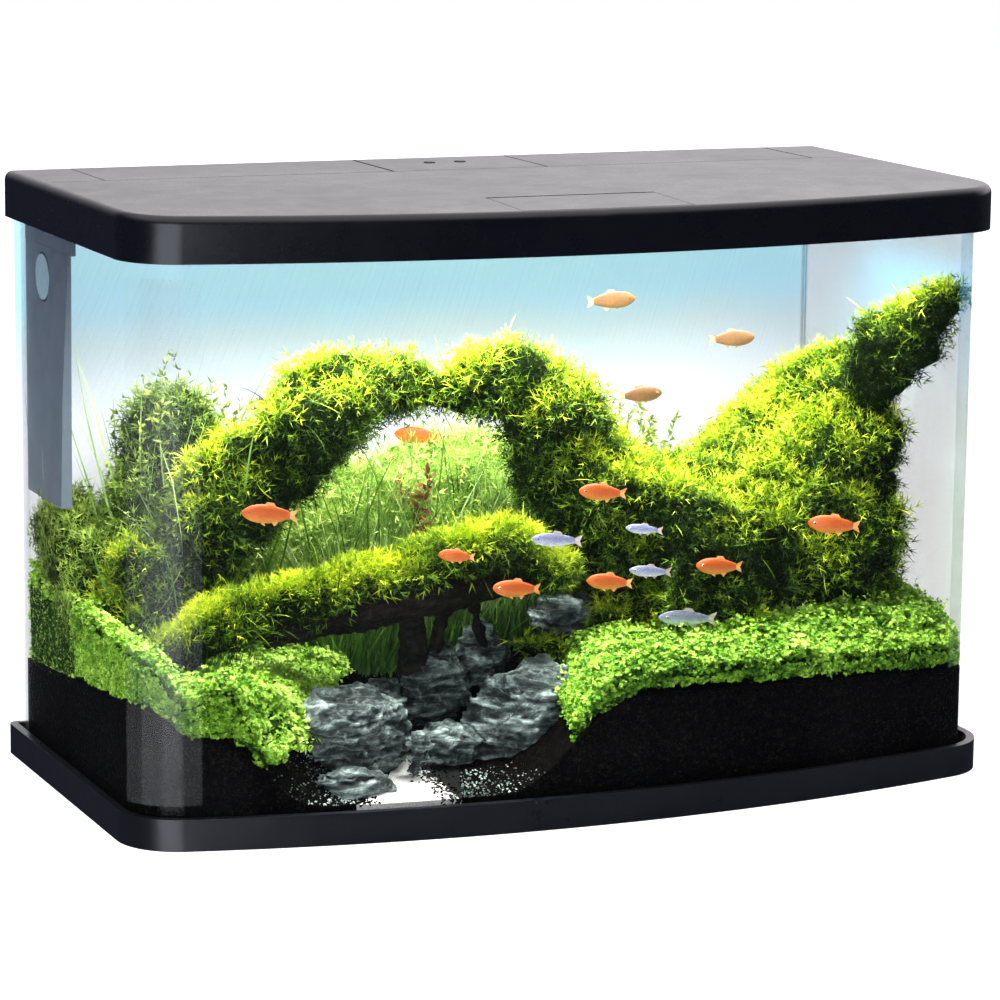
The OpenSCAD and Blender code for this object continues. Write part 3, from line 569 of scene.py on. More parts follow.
def frond(pairs, spread, curl):
    """A moss frond one unit long: pairs of thin leaflets on a curved spine."""
    corners, faces = [], []

    def leaflet(a, b, c):
        faces.append([len(corners), len(corners) + 1, len(corners) + 2])
        corners.extend((a, b, c))

    for k in range(pairs):
        h = (k + 0.4) / (pairs + 0.4)
        reach = spread * (1 - 0.5 * h)
        for s in (-1, 1):
            leaflet((0, 0, h - 0.045), (0, 0, h + 0.045), (s * reach, 0.2 * (-1) ** k, h + 0.24))
    leaflet((-0.035, 0, 0.68), (0.035, 0, 0.68), (0, 0, 1.1))
    leaflet((-0.025, 0, 0), (0.025, 0, 0), (0, 0, 0.9))
    corners = np.array(corners, float)
    rise = np.clip(corners[:, 2], 0, 1)
    corners[:, 1] += curl * rise ** 2
    return corners, np.array(faces), rise


def round_leaf():
    """A small leaf one unit across, folded a little along its midrib."""
    corners = np.array([(-0.55, 0, 0), (0, -0.42, 0.14), (0.5, 0, 0), (0, 0.42, 0.14)], float)
    return corners, np.array([[0, 1, 2], [0, 2, 3]]), np.array((0.45, 0.9, 1.0, 0.9))


def blade(steps, width, bend):
    """A grass blade one unit long, tapering and bending over."""
    corners, faces = [], []
    for k in range(steps):
        h = k / steps
        half = width * (1 - 0.6 * h) / 2
        corners += [(-half, bend * h * h, h), (half, bend * h * h, h)]
    corners.append((0, bend, 1 - 0.1 * abs(bend)))
    for k in range(steps - 1):
        faces += [[2 * k, 2 * k + 1, 2 * k + 3], [2 * k, 2 * k + 3, 2 * k + 2]]
    faces.append([2 * steps - 2, 2 * steps - 1, 2 * steps])
    corners = np.array(corners, float)
    return corners, np.array(faces), np.clip(corners[:, 2], 0, 1)


def slender_leaf():
    """A pointed leaf one unit long, a little folded."""
    corners = np.array([(0, 0, 0), (0.16, 0.05, 0.4), (0, 0.1, 1), (-0.16, 0.05, 0.4)], float)
    return corners, np.array([[0, 1, 2], [0, 2, 3]]), corners[:, 2].copy()


# ---------------------------------------------------------------- rough solids

def remeshed(node, voxel):
    """A copy of a CAD node's solid with even, closed faces."""
    source = bpy.data.objects.new("source", NODES[node].data.copy())
    SCENE.collection.objects.link(source)
    weld = source.modifiers.new("weld", "WELD")
    weld.merge_threshold = 1e-5
    even = source.modifiers.new("even", "REMESH")
    even.mode = "VOXEL"
    even.voxel_size = voxel
    shape = bpy.data.meshes.new_from_object(source.evaluated_get(bpy.context.evaluated_depsgraph_get()))
    bpy.data.objects.remove(source)
    return shape


def displaced(name, node, voxel, push, look):
    """The CAD node's solid with a rough surface: push gives each point's way out along its normal."""
    shape = remeshed(node, voxel)
    count = len(shape.vertices)
    at = np.empty(count * 3, np.float32)
    normal = np.empty(count * 3, np.float32)
    shape.vertices.foreach_get("co", at)
    shape.vertices.foreach_get("normal", normal)
    at, normal = at.reshape(-1, 3).astype(float), normal.reshape(-1, 3).astype(float)
    at = keep_inside(at + normal * push(at, normal)[:, None], 0.0006)
    shape.vertices.foreach_set("co", at.astype(np.float32).ravel())
    shape.polygons.foreach_set("use_smooth", np.ones(len(shape.polygons), bool))
    shape.name = name
    piece = add_piece(name, shape, look)
    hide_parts(node)
    return piece


def ridges(at, scale, seed):
    """Ridged noise, from 0 in the folds to 1 on the crests."""
    total, gain, weight = np.zeros(len(at)), 0.5, 0.0
    for octave in range(4):
        crest = 1 - np.abs(2 * value_noise(at, scale * 2.1 ** octave, seed + octave) - 1)
        total += gain * crest ** 2
        weight += gain
        gain *= 0.5
    return total / weight


def rock_push(seed):
    """How far a stone's surface stands out: tilted layers, smaller ridges and a fine grain."""
    def push(at, normal):
        tilted = at @ np.array(((0.75, 0.2, 0.35), (-0.25, 0.95, 0.1), (-0.6, -0.15, 2.3)))
        return (0.013 * (ridges(tilted, 17, seed) - 0.55) + 0.0075 * (ridges(tilted, 55, seed + 5) - 0.5)
                + 0.0016 * (value_noise(at, 420, seed) - 0.5))
    return push


def bark_push(at, normal):
    """How far bark stands out, in ridges along the wood."""
    along = at * np.array((0.4, 1, 1))
    return 0.005 * (ridges(along, 70, 31) - 0.5) + 0.002 * (value_noise(at, 300, 33) - 0.5)


def moss_push(amount, inset):
    """How far a plant's core stands out: soft lumps, set in a little to leave room for the leaves."""
    def push(at, normal):
        return amount * (value_noise(at, 34, 41) + 0.5 * value_noise(at, 90, 42) - 0.75) - inset
    return push


# ---------------------------------------------------------------- planting

LEAF_FACE = np.array((-0.1, -0.3, 1.0))  # the way carpet leaves face: up to the lamp, and a little forwards


def smooth(v, low, high):
    """0 below low, 1 above high, and a smooth step between them."""
    t = np.clip((v - low) / (high - low), 0, 1)
    return t * t * (3 - 2 * t)


def moss_tint(at, normal, seed, rng):
    """How far a moss frond is from shaded (0) to sunlit (1): painted light on upward faces, painted shade
    underneath and in the hollows of a noise, and yellower patches.
    """
    lump = value_noise(at, 70, seed)
    patch = value_noise(at, 23, seed + 3)
    tint = (0.1 + 0.6 * smooth(normal[:, 2], -0.25, 0.75) + 0.7 * (lump - 0.5) + 0.4 * (patch - 0.5)
            + 0.12 * rng.normal(size=len(at)))
    return np.clip(tint, 0.015, 1)


def moss_fronds(name, mesh, count, size, seed, keep=None, look="moss", light=0.0):
    """Fronds over a moss core, with painted light on top and at the tips and painted shade underneath."""
    rng = np.random.default_rng(seed)
    at, normal = spread_over(mesh, count, rng, keep)
    grow = strewn(0.8 * normal + (0, 0, 0.35), 0.85, count, rng)
    scale = size * (0.5 + 0.8 * rng.random(count)) * (0.6 + 0.8 * value_noise(at, 70, seed))
    tint = moss_tint(at, normal, seed, rng) + light
    foot = keep_inside(at - normal * 0.001, 0.003)
    return scatter(name, frond(3, 0.34, 0.35), foot, grow, scale, tint, rng, look)


def moss_strays(name, mesh, count, length, seed):
    """Long loose strands that stand out of the moss, most of them on its tops and edges."""
    rng = np.random.default_rng(seed)
    at, normal = spread_over(mesh, count, rng, lambda p, n: np.where(n[:, 2] > 0.1, 1.0, 0.3))
    grow = strewn(0.6 * normal + (0, 0, 0.15), 0.8, count, rng)
    scale = length * (0.4 + 0.8 * rng.random(count) ** 2)
    tint = moss_tint(at, normal, seed, rng) + 0.12
    return scatter(name, blade(4, 0.04, 0.8), at, grow, scale, tint, rng, "moss", darkest=0.05)


def leaf_carpet(name, mesh, count, seed, light=0.0):
    """Tiny bright leaves over a carpet plant's core, in domed tufts with shaded gaps between them."""
    rng = np.random.default_rng(seed)
    at, normal = spread_over(mesh, count, rng,
                             lambda p, n: (n[:, 2] > -0.3) * (0.8 + 0.3 * np.abs(n[:, 2])))
    lump = 0.6 * value_noise(at, 80, seed) + 0.4 * value_noise(at, 170, seed + 1)
    depth = rng.random(count) ** 1.4
    at = keep_inside(at + normal * (lump * 0.014 - depth * 0.008 + 0.0015)[:, None], 0.0022)
    face = strewn(0.5 * normal + LEAF_FACE, 0.7, count, rng)
    scale = 0.0036 * (0.55 + 0.85 * rng.random(count))
    # Deeper leaves get painted shade, and leaves on the lumps painted light
    tint = 0.5 + light - depth * 0.5 + 0.95 * (lump - 0.25) + 0.13 * rng.normal(size=count)
    return scatter(name, round_leaf(), at, face, scale, tint, rng, "carpet")


def carpet_shoots(name, mesh, count, seed):
    """Small upright shoots that stand above a carpet and break its outline."""
    rng = np.random.default_rng(seed)
    at, normal = spread_over(mesh, count, rng, lambda p, n: (n[:, 2] > 0.1) * value_noise(p, 50, seed) ** 2)
    steps = np.linspace(0.2, 1, 7)
    tall = 0.006 + 0.011 * rng.random(count) ** 1.6
    lean = unit(strewn(0.3 * normal + (0, -0.1, 1.0), 0.25, count, rng))
    up = (tall[:, None] * steps)[:, :, None] * lean[:, None, :]
    leaves = (at[:, None, :] + up).reshape(-1, 3)
    leaves = keep_inside(strewn(leaves, 0.0009, len(leaves), rng), 0.0022)
    face = strewn(LEAF_FACE, 0.8, len(leaves), rng)
    scale = 0.0032 * (0.6 + 0.6 * rng.random(len(leaves)))
    # Leaves higher up each shoot get painted light
    tint = 0.45 + 0.4 * np.tile(steps, count) + 0.1 * rng.normal(size=len(leaves))
    return scatter(name, round_leaf(), leaves, face, scale, tint, rng, "carpet")


def ground_places(nodes, window, count, rng):
    """Random places on the upper faces of some CAD nodes, within a window x0, x1, y0, y1."""
    x0, x1, y0, y1 = window

    def within(p, margin):
        return ((p[:, 0] > x0 - margin) & (p[:, 0] < x1 + margin)
                & (p[:, 1] > y0 - margin) & (p[:, 1] < y1 + margin))

    def keep(p, n):
        return (n[:, 2] > 0.3) * within(p, 0.02) + 1e-9

    at = np.concatenate([spread_over(NODES[node].data, count, rng, keep)[0] for node in nodes])
    return at[within(at, 0)][:count]


def grass_patch(name, nodes, window, count, height, seed, width=0.016, light=0.6, replaces=()):
    """Thin blades that stand on the ground within a window."""
    rng = np.random.default_rng(seed)
    at = ground_places(nodes, window, count, rng)
    grow = strewn((0, 0, 1.0), 0.2, len(at), rng)
    scale = height * (0.45 + 0.65 * rng.random(len(at)))
    tint = light + 0.25 * rng.normal(size=len(at))
    return scatter(name, blade(5, width, 0.3), at - (0, 0, 0.004), grow, scale, tint, rng, "grass",
                   replaces, darkest=0.05)


def stem_plant(name, foot, top, reach, count, leaf, seed, look="stem_leaf", replaces=()):
    """A bush of slender leaves strung along thin stem lines, from its foot to its top, reach metres to each
    side; the stems themselves are not drawn.
    """
    rng = np.random.default_rng(seed)
    foot, top = np.array(foot), np.array(top)
    places, grow, sizes, tints = [], [], [], []
    for _ in range(count):
        start = foot + rng.uniform(-0.5, 0.5, 3) * (reach, reach, 0.004)
        end = top + rng.normal(size=3) * (reach * 0.6, reach * 0.5, reach * 0.55)
        shade = 0.14 * rng.normal()
        for t in np.linspace(0.05, 1, 26):
            at = start + (end - start) * t + np.array((0.005 * math.sin(5 * t + start[0] * 400), 0, 0))
            for _ in range(4):
                places.append(at)
                grow.append(np.array((0, 0, 0.6)) + rng.normal(size=3))
                sizes.append(leaf * (1.15 - 0.55 * t) * (0.7 + 0.6 * rng.random()))
                # Leaves higher up each stem get painted light
                tints.append(0.2 + 0.65 * t ** 1.5 + shade + 0.14 * rng.normal())
    return scatter(name, slender_leaf(), np.array(places), np.array(grow), np.array(sizes),
                   np.array(tints), rng, look, replaces)


def bank_of_moss(name, points, amount, seed, look="moss_core"):
    """A soft bank swept through [x, y, z, radius] points, as a core for fronds."""
    line = np.array(points)
    ts = np.linspace(0, len(line) - 1, 8 * len(line))
    path = np.stack([np.interp(ts, np.arange(len(line)), line[:, k]) for k in range(4)], 1)
    sides = 16
    along = unit(np.gradient(path[:, :3], axis=0))
    u = unit(np.cross(np.array((0, 1, 0.01)), along))
    w = np.cross(along, u)
    turn = np.linspace(0, 2 * np.pi, sides, endpoint=False)
    around = np.cos(turn)[:, None] * u[:, None, :] + np.sin(turn)[:, None] * w[:, None, :]
    ring = path[:, None, :3] + path[:, None, 3:4] * around
    at = np.concatenate((ring.reshape(-1, 3), path[:1, :3], path[-1:, :3]))
    n = len(path)
    faces = ring_faces(n, sides)
    last = (n - 1) * sides
    for k in range(sides):
        faces += [(n * sides, (k + 1) % sides, k), (n * sides + 1, last + k, last + (k + 1) % sides)]
    out = unit(at - np.concatenate((np.repeat(path[:, :3], sides, 0), path[1:2, :3], path[-2:-1, :3])))
    lumps = value_noise(at, 45, seed) + 0.5 * value_noise(at, 110, seed + 1) - 0.75
    at = keep_inside(at + out * (amount * lumps)[:, None], 0.001)
    return add_mesh(name, at, np.array(faces), look, smooth=True)


def make_algae_and_reflection():
    """Two thin layers of streaky film inside the right pane and round its front corner: algae streaks with a
    painted reflection of the tank's inside.
    """
    face_x = HALF_W - GLASS_INNER - 0.0009
    levels = np.linspace(0.074, 0.374, 11)
    places, faces = [], []
    for layer, start in enumerate((72, 34)):
        reach = face_x - BEND_X - 0.00004 * layer
        line = [(BEND_X + reach * math.cos(t), BEND_Y - reach * math.sin(t))
                for t in np.radians(np.linspace(start, 0, 7))]
        line += [(BEND_X + reach, y) for y in np.linspace(-0.08, 0.1512, 9)]
        wide = len(line)
        first = len(places)
        places += [(px, py, z) for z in levels for px, py in line]
        for r in range(len(levels) - 1):
            for c in range(wide - 1):
                a = first + r * wide + c
                faces += [(a, a + 1, a + 1 + wide), (a, a + 1 + wide, a + wide)]
    add_mesh("algae_and_reflection_film", np.array(places), np.array(faces), "algae_and_reflection")


def make_corner_highlight():
    """Faint pale sheets on the outside of the left front corner, thickest in its middle: a painted highlight
    for the corner strip light's reflection in the bent glass.
    """
    corners, faces = [], []
    turns = 8
    for layer, half in enumerate((36, 18)):
        radius = BEND_OUTER + 0.00008 * layer
        for k in range(turns + 1):
            turn = math.radians(56 - half + 2 * half * k / turns)
            for z in (0.03, 0.366):
                corners.append((-BEND_X - radius * math.cos(turn), BEND_Y - radius * math.sin(turn), z))
        for k in range(turns):
            a = 2 * (layer * (turns + 1) + k)
            faces += [(a, a + 2, a + 3), (a, a + 3, a + 1)]
    add_mesh("corner_highlight_sheets", np.array(corners), np.array(faces), "corner_highlight_look", smooth=True)


def gravel(name, nodes, window, edge, count, size, seed, look):
    """Loose grains on the ground within a window, thinning out away from x = edge."""
    rng = np.random.default_rng(seed)
    at = ground_places(nodes, window, count, rng)
    reach = max(abs(window[0] - edge), abs(window[1] - edge))
    at = at[rng.random(len(at)) < (1 - np.abs(at[:, 0] - edge) / reach) ** 1.5]
    corners = np.array([(1, 0, 0), (-1, 0, 0), (0, 1, 0), (0, -1, 0), (0, 0, 0.7), (0, 0, -0.7)], float)
    faces = np.array([(0, 2, 4), (2, 1, 4), (1, 3, 4), (3, 0, 4),
                      (2, 0, 5), (1, 2, 5), (3, 1, 5), (0, 3, 5)])
    scale = size * (0.5 + rng.random(len(at)))
    grow = strewn((0, 0, 1.0), 0.4, len(at), rng)
    return scatter(name, (corners, faces, 0.5 + 0.5 * corners[:, 2]), at + (0, 0, size * 0.4), grow, scale,
                   rng.random(len(at)), rng, look, darkest=0)


def plant_masses():
    """Moss and carpet over the CAD's own masses. On the mound and the branch, fronds keep mostly off
    undersides, and on the mound mostly off the hidden rear.
    """
    def mound_face(p, n):
        return (n[:, 2] > -0.4) * np.where(p[:, 1] > 0.08, 0.3, 1.0)

    def branch_top(p, n):
        return np.where(n[:, 2] > -0.35, 1.0, 0.12)

    cores = {}
    for node, lumps in (("moss_arch", 0.024), ("moss_mound", 0.024), ("moss_branch", 0.01)):
        cores[node] = displaced(f"{node}_core", node, 0.004, moss_push(lumps, 0.003), "moss_core").data
    for node, count, size, seed, keep, light in (("moss_arch", 18500, 0.0115, 101, None, 0.15),
                                                 ("moss_mound", 19500, 0.0112, 102, mound_face, 0.04),
                                                 ("moss_branch", 10000, 0.0098, 103, branch_top, 0.08)):
        moss_fronds(f"{node}_fronds", cores[node], count, size, seed, keep, light=light)
    for node, count, length, seed in (("moss_arch", 2200, 0.02, 104), ("moss_mound", 1600, 0.018, 105),
                                      ("moss_branch", 1000, 0.018, 106)):
        moss_strays(f"{node}_strands", cores[node], count, length, seed)
    for node, count, seed, light in (("carpet_left", 44000, 111, 0.16), ("carpet_right", 42000, 112, -0.06)):
        core = displaced(f"{node}_core", node, 0.003, moss_push(0.006, 0.004), "carpet_core")
        leaf_carpet(f"{node}_leaves", core.data, count, seed, light)
        carpet_shoots(f"{node}_shoots", core.data, 1500, seed + 40)


def plant_banks():
    """Bushes and banks behind and beside the CAD's masses, each through [x, y, z, radius] points."""
    bush = bank_of_moss("stem_bush_core", [
        (-0.225, 0.088, 0.1, 0.03), (-0.222, 0.088, 0.17, 0.036),
        (-0.212, 0.09, 0.222, 0.032), (-0.19, 0.096, 0.238, 0.022)], 0.018, 61)
    moss_fronds("stem_bush_leaves", bush.data, 5000, 0.0125, 107, look="olive_moss", light=0.28)
    corner = bank_of_moss("corner_bush_core", [
        (-0.272, 0.062, 0.1, 0.024), (-0.274, 0.08, 0.135, 0.024),
        (-0.276, 0.105, 0.156, 0.024), (-0.277, 0.138, 0.16, 0.022)], 0.014, 63)
    moss_fronds("corner_bush_leaves", corner.data, 3000, 0.0125, 109, look="olive_moss", light=0.25)
    low = bank_of_moss("corner_carpet_core", [
        (-0.272, 0.03, 0.092, 0.026), (-0.275, 0.08, 0.094, 0.034),
        (-0.277, 0.12, 0.095, 0.037), (-0.279, 0.147, 0.093, 0.036)], 0.012, 64, "carpet_core")
    leaf_carpet("corner_carpet_leaves", low.data, 12000, 110, 0.3)
    rear = bank_of_moss("rear_moss_core", [
        (-0.15, 0.11, 0.125, 0.044), (-0.09, 0.112, 0.142, 0.052), (-0.03, 0.114, 0.15, 0.054),
        (0.02, 0.112, 0.155, 0.054), (0.07, 0.108, 0.155, 0.056), (0.13, 0.108, 0.12, 0.045)],
        0.022, 62, "pale_core")
    moss_fronds("rear_moss_fronds", rear.data, 6500, 0.014, 108, look="pale_moss", light=0.2)


def plant_stems_and_grass():
    """Stem plants at the back, loose grains along the sand's edges, and grass under the arch."""
    stem_plant("stem_plants_left", (-0.222, 0.09, 0.08), (-0.214, 0.088, 0.242), 0.036, 40, 0.0105, 121,
               replaces=("stem_plants",))
    stem_plant("stem_plants_corner", (-0.276, 0.1, 0.08), (-0.277, 0.115, 0.168), 0.026, 24, 0.011, 126)
    stem_plant("stem_plants_mid", (-0.17, 0.104, 0.08), (-0.166, 0.1, 0.222), 0.03, 34, 0.0105, 122)
    stem_plant("stem_plants_rear", (0.06, 0.118, 0.1), (0.056, 0.115, 0.19), 0.04, 24, 0.0105, 123)
    stem_plant("stem_plants_right", (0.146, 0.134, 0.104), (0.15, 0.125, 0.205), 0.03, 24, 0.011, 124)
    stem_plant("red_stems", (-0.03, 0.08, 0.09), (-0.028, 0.076, 0.172), 0.04, 9, 0.014, 125, "red_leaf")
    for side, x0, x1, edge, seed in (("left", -0.235, -0.155, -0.165, 141),
                                     ("right", -0.1, -0.03, -0.095, 142)):
        gravel(f"pale_gravel_{side}", ("soil_left", "soil_right"), (x0, x1, -0.168, -0.1), edge,
               1500, 0.0007, seed, "stone")
        gravel(f"dark_gravel_{side}", ("sand_path",), (edge - 0.022, edge + 0.022, -0.168, -0.06), edge,
               420, 0.0009, seed + 2, "soil")
    ground = ("soil_left", "soil_right", "sand_path")
    grass_patch("hair_grass_rear", ground, (-0.12, 0.05, 0.03, 0.08), 2400, 0.1, 131, light=0.75,
                replaces=("hair_grass",))
    grass_patch("hair_grass_pale", ground, (-0.13, 0.02, 0.055, 0.1), 480, 0.16, 134, width=0.011, light=0.6)
    grass_patch("hair_grass_left", ("soil_left",), (-0.296, -0.2, -0.02, 0.1), 1200, 0.06, 132, light=0.35)
    grass_patch("hair_grass_tall", ("soil_left",), (-0.25, -0.17, 0.03, 0.11), 190, 0.215, 133,
                width=0.01, light=0.8)


# ---------------------------------------------------------------- stones and wood

def make_hardscape():
    displaced("stones_left_rough", "stones_left", 0.0015, rock_push(3), "stone")
    displaced("stones_right_rough", "stones_right", 0.0015, rock_push(7), "stone")
    displaced("driftwood_bark", "driftwood", 0.0015, bark_push, "wood")


# ---------------------------------------------------------------- fish

def eyeball(centre, side, radius, out, start):
    """Corners and faces of an eye or its pupil, that stands this far out on one side of the head."""
    rings, turns = 4, 10
    corners = []
    for ring in range(1, rings + 1):
        t = math.pi * ring / (rings + 1)
        for k in range(turns):
            p = 2 * math.pi * k / turns
            corners.append(tuple(centre + (radius * math.sin(t) * math.cos(p),
                                           side * (radius * 0.6 * math.cos(t) + out),
                                           radius * math.sin(t) * math.sin(p))))
    faces = ring_faces(rings, turns, start)
    faces.extend((start, start + k + 1, start + k + 2) for k in range(turns - 2))
    return corners, faces


def fish_body(length, deep, thick, bend):
    """A small fish that faces -X, its middle at the origin, in slots: body, fins, eyes and pupils."""
    rings, sides = 16, 14
    corners = []

    def sway(x):
        return bend * length * (x / length + 0.1) ** 2

    for i in range(rings + 1):
        s = i / rings
        high = deep * length * 0.5 * (0.3 + 0.7 * math.sin(math.pi * min(0.06 + s * 0.86, 1) ** 0.8) ** 0.8
                                      - 0.12 * s - 0.28 * (1 - s) ** 6)
        wide = high * thick * (1.05 - 0.6 * s)
        x = (s * 0.8 - 0.44) * length
        for k in range(sides):
            a = 2 * math.pi * k / sides
            corners.append((x, sway(x) + wide * math.cos(a), high * math.sin(a)))
    faces = [(a, c, b) for a, b, c in ring_faces(rings + 1, sides)]
    nose, tail = len(corners), len(corners) + 1
    corners += [(-0.47 * length, 0, 0), (0.38 * length, sway(0.38 * length), 0)]
    for k in range(sides):
        faces += [(nose, k, (k + 1) % sides),
                  (tail, rings * sides + (k + 1) % sides, rings * sides + k)]
    slots = [0] * len(faces)

    def fin(points, half):
        """A thin fin with two faces, through points in the fish's middle plane."""
        start = len(corners)
        for s in (-1, 1):
            for x, z in points:
                corners.append((x * length, sway(x * length) + s * half * length, z * length))
        n = len(points)
        for k in range(1, n - 1):
            faces.append((start, start + k, start + k + 1))
            faces.append((start + n, start + n + k + 1, start + n + k))
            slots.extend((1, 1))

    fin([(0.33, 0.0), (0.35, 0.045), (0.5, 0.115), (0.47, 0.035), (0.45, 0.0)], 0.004)
    fin([(0.33, 0.0), (0.45, 0.0), (0.47, -0.035), (0.5, -0.115), (0.35, -0.045)], 0.004)
    top = deep * 0.46
    fin([(-0.1, top - 0.03), (-0.03, top + 0.045), (0.08, top + 0.035), (0.14, top - 0.045),
         (0.0, top - 0.05)], 0.003)
    fin([(0.04, -top + 0.04), (0.12, -top + 0.05), (0.18, -top + 0.03), (0.12, -top - 0.045)], 0.003)
    fin([(-0.16, -top * 0.6), (-0.08, -top * 0.7), (-0.04, -top - 0.05), (-0.11, -top - 0.02)], 0.003)
    for side in (-1, 1):
        centre = np.array((-0.335 * length, side * deep * thick * length * 0.235, 0.03 * deep * length))
        for radius, slot, out in ((0.034, 2, 0.0), (0.02, 3, 0.55)):
            ball, skin = eyeball(centre, side, radius * length, out * 0.034 * length * 0.6, len(corners))
            corners += ball
            faces += skin
            slots += [slot] * len(skin)
    return np.array(corners), np.array(faces), slots


def make_fish(name, at, facing, length, kind, turn, bend):
    """A fish at a place, turned this many degrees from straight left or right, its tail swung by bend."""
    corners, faces, slots = fish_body(length, 0.36 if kind != "silver" else 0.27, 0.5, bend)
    piece = add_mesh(name, corners, faces, f"fish_{kind}", smooth=True)
    for extra in (f"fin_{kind}", "fish_eye", "fish_pupil"):
        piece.data.materials.append(MATERIALS[extra])
    piece.data.polygons.foreach_set("material_index", np.array(slots, np.int32))
    heading = math.radians(turn + (180 if facing == "right" else 0))
    piece.matrix_basis = (Matrix.Translation(at) @ Matrix.Rotation(heading, 4, "Z")
                          @ Matrix.Rotation(math.radians(4), 4, "Y"))


# Groups of fish: kind, way they face, y, then each one's x, z and length
SHOAL = [
    ("orange", "left", -0.095, [(0.025, 0.208, 0.033), (-0.036, 0.147, 0.034), (-0.079, 0.172, 0.025),
                                (0.031, 0.147, 0.032), (0.112, 0.152, 0.034), (0.198, 0.175, 0.037),
                                (-0.209, 0.208, 0.037)]),
    ("pale", "right", -0.06, [(0.069, 0.266, 0.031), (0.136, 0.301, 0.032), (0.046, 0.331, 0.034)]),
    ("silver", "left", -0.095, [(-0.008, 0.178, 0.036), (0.056, 0.181, 0.026), (0.061, 0.152, 0.03),
                                (0.089, 0.118, 0.042)]),
    ("orange", "left", 0.11, [(-0.025, 0.216, 0.036)]),
    ("orange", "right", 0.1, [(-0.046, 0.178, 0.034)]),
    ("orange", "left", 0.105, [(-0.008, 0.169, 0.036)]),
]


def make_shoal():
    """All the fish, numbered in turn, each turned and bent a little differently."""
    number = 0
    for kind, facing, y, group in SHOAL:
        for x, z, length in group:
            make_fish(f"fish_{number + 1:02d}", (x, y, z), facing, length, kind,
                      turn=-16 + 9 * math.sin(number * 2.1), bend=0.12 * math.sin(number * 1.7))
            number += 1


def fish_skin(name, back, flank, belly, shine):
    """Small scales, shaded from the belly over the flank to the back by height."""
    look = Look(name, Coat_Weight=0.3, Specular_IOR_Level=0.5)
    scales = look.cells(900, where=look.stretch(0.7, 1, 1))
    height = look.span(look.height(160, 3, 0.0008, 0.3, 0.7), -0.0055, 0.0055)
    look.colour(look.mix(look.span(scales, 0.0, 0.6, 0.0, 0.35),
                         look.ramp(height, [(0.1, belly), (0.5, flank), (0.9, back)]),
                         look.ramp(scales, [(0.0, belly), (1.0, back)])))
    look.roughness(scales, shine, shine + 0.15, 0.0, 0.6)
    look.relief(scales, 0.0002, 0.4)
    return look.material


def fin_skin(name, root, edge):
    """Thin skin with fine rays along the fin."""
    look = Look(name)
    rays = look.noise(700, 2, 0.5, where=look.stretch(0.15, 1, 1))
    look.colour(rays, [(0.3, root), (0.7, edge)])
    look.roughness(rays, 0.35, 0.5)
    return look.material


def eye_look(name, inner, outer, rough):
    """Wet, glossy eye surface."""
    look = Look(name, Coat_Weight=0.6)
    look.colour(look.noise(1500, 2), [(0.3, inner), (0.7, outer)])
    look.roughness(look.noise(900, 2), rough, rough + 0.08)
    return look.material


# ---------------------------------------------------------------- CAD pieces

def soften_edges(name, width):
    """Rounds a CAD piece's sharp edges a little, as moulding does, and keeps its shallow folds crisp."""
    data = NODES[name].data
    data.polygons.foreach_set("use_smooth", np.ones(len(data.polygons), bool))
    tops = {}
    for face in data.polygons:
        if face.normal.z > 0.99:
            for key in face.edge_keys:
                tops.setdefault(key, []).append(face.normal.copy())
    keys = {edge.key: edge for edge in data.edges}
    for key, normals in tops.items():
        if len(normals) == 2 and normals[0].angle(normals[1], 0) > math.radians(0.8):
            keys[key].use_edge_sharp = True
    piece = NODES[name]
    weld = piece.modifiers.new("weld", "WELD")
    weld.merge_threshold = 2e-6
    bevel = piece.modifiers.new("bevel", "BEVEL")
    bevel.width = width
    bevel.segments = 2
    bevel.limit_method = "ANGLE"
    bevel.angle_limit = math.radians(38)
    bevel.use_clamp_overlap = True
    piece.modifiers.new("normals", "WEIGHTED_NORMAL").keep_sharp = True


def finish_cad():
    """Gives the CAD pieces that are shown as they are their looks, and rounds the moulded ones."""
    looks = {
        "base": ("base_frame",),
        "hood": ("hood_shell", "control_panel", "feed_hatch", "left_cover", "right_cover"),
        "dark": ("top_rim", "hinge_brackets", "hinge_arms", "pump_body", "pump_cover", "power_inlet",
                 "day_button", "night_button"),
        "glass": ("bottom_glass", "front_glass", "rear_glass"),
        "silicone": ("corner_silicone", "bottom_silicone"),
        "film": ("backdrop_film",),
        "filter": ("filter_housing", "filter_cap"),
        "cup": ("suction_cup",),
        "sponge": ("filter_sponge",),
        "steel": ("hinge_pins", "led_screws", "hatch_rod"),
        "white": ("impeller", "led_housing", "led_board", "impeller_shaft"),
        "board": ("switch_board",),
        "lens": ("led_lens",),
        "soil": ("soil_left", "soil_right"),
        "sand": ("sand_path",),
    }
    for look, names in looks.items():
        for name in names:
            data = NODES[name].data
            data.materials.clear()
            data.materials.append(MATERIALS[look])
    for name, width in (("base_frame", 0.0012), ("hood_shell", 0.0004), ("control_panel", 0.0005),
                        ("feed_hatch", 0.0004), ("left_cover", 0.0005), ("right_cover", 0.0005),
                        ("filter_housing", 0.0008), ("filter_cap", 0.0008), ("led_housing", 0.0004),
                        ("day_button", 0.0004), ("night_button", 0.0004)):
        soften_edges(name, width)


def lamp_lens():
    """Frosted cover of the light, lit from behind."""
    look = Look("led_diffuser", Emission_Strength=2.5, Emission_Color=(1, 1, 0.97, 1))
    look.colour(look.cells(500), [(0.0, (0.8, 0.83, 0.86)), (1.0, (0.95, 0.97, 1.0))])
    look.roughness(look.noise(500, 2), 0.4, 0.55)
    return look.material


def plain_look(name, dark, light, scale, rough, depth, **constants):
    """One grain, of this scale, gives the colour, the roughness and the relief."""
    look = Look(name, **constants)
    grain = look.noise(scale, 4, 0.6)
    look.colour(grain, [(0.3, dark), (0.7, light)])
    look.roughness(grain, rough - 0.06, rough + 0.06)
    look.relief(grain, depth, 0.6)
    return look.material


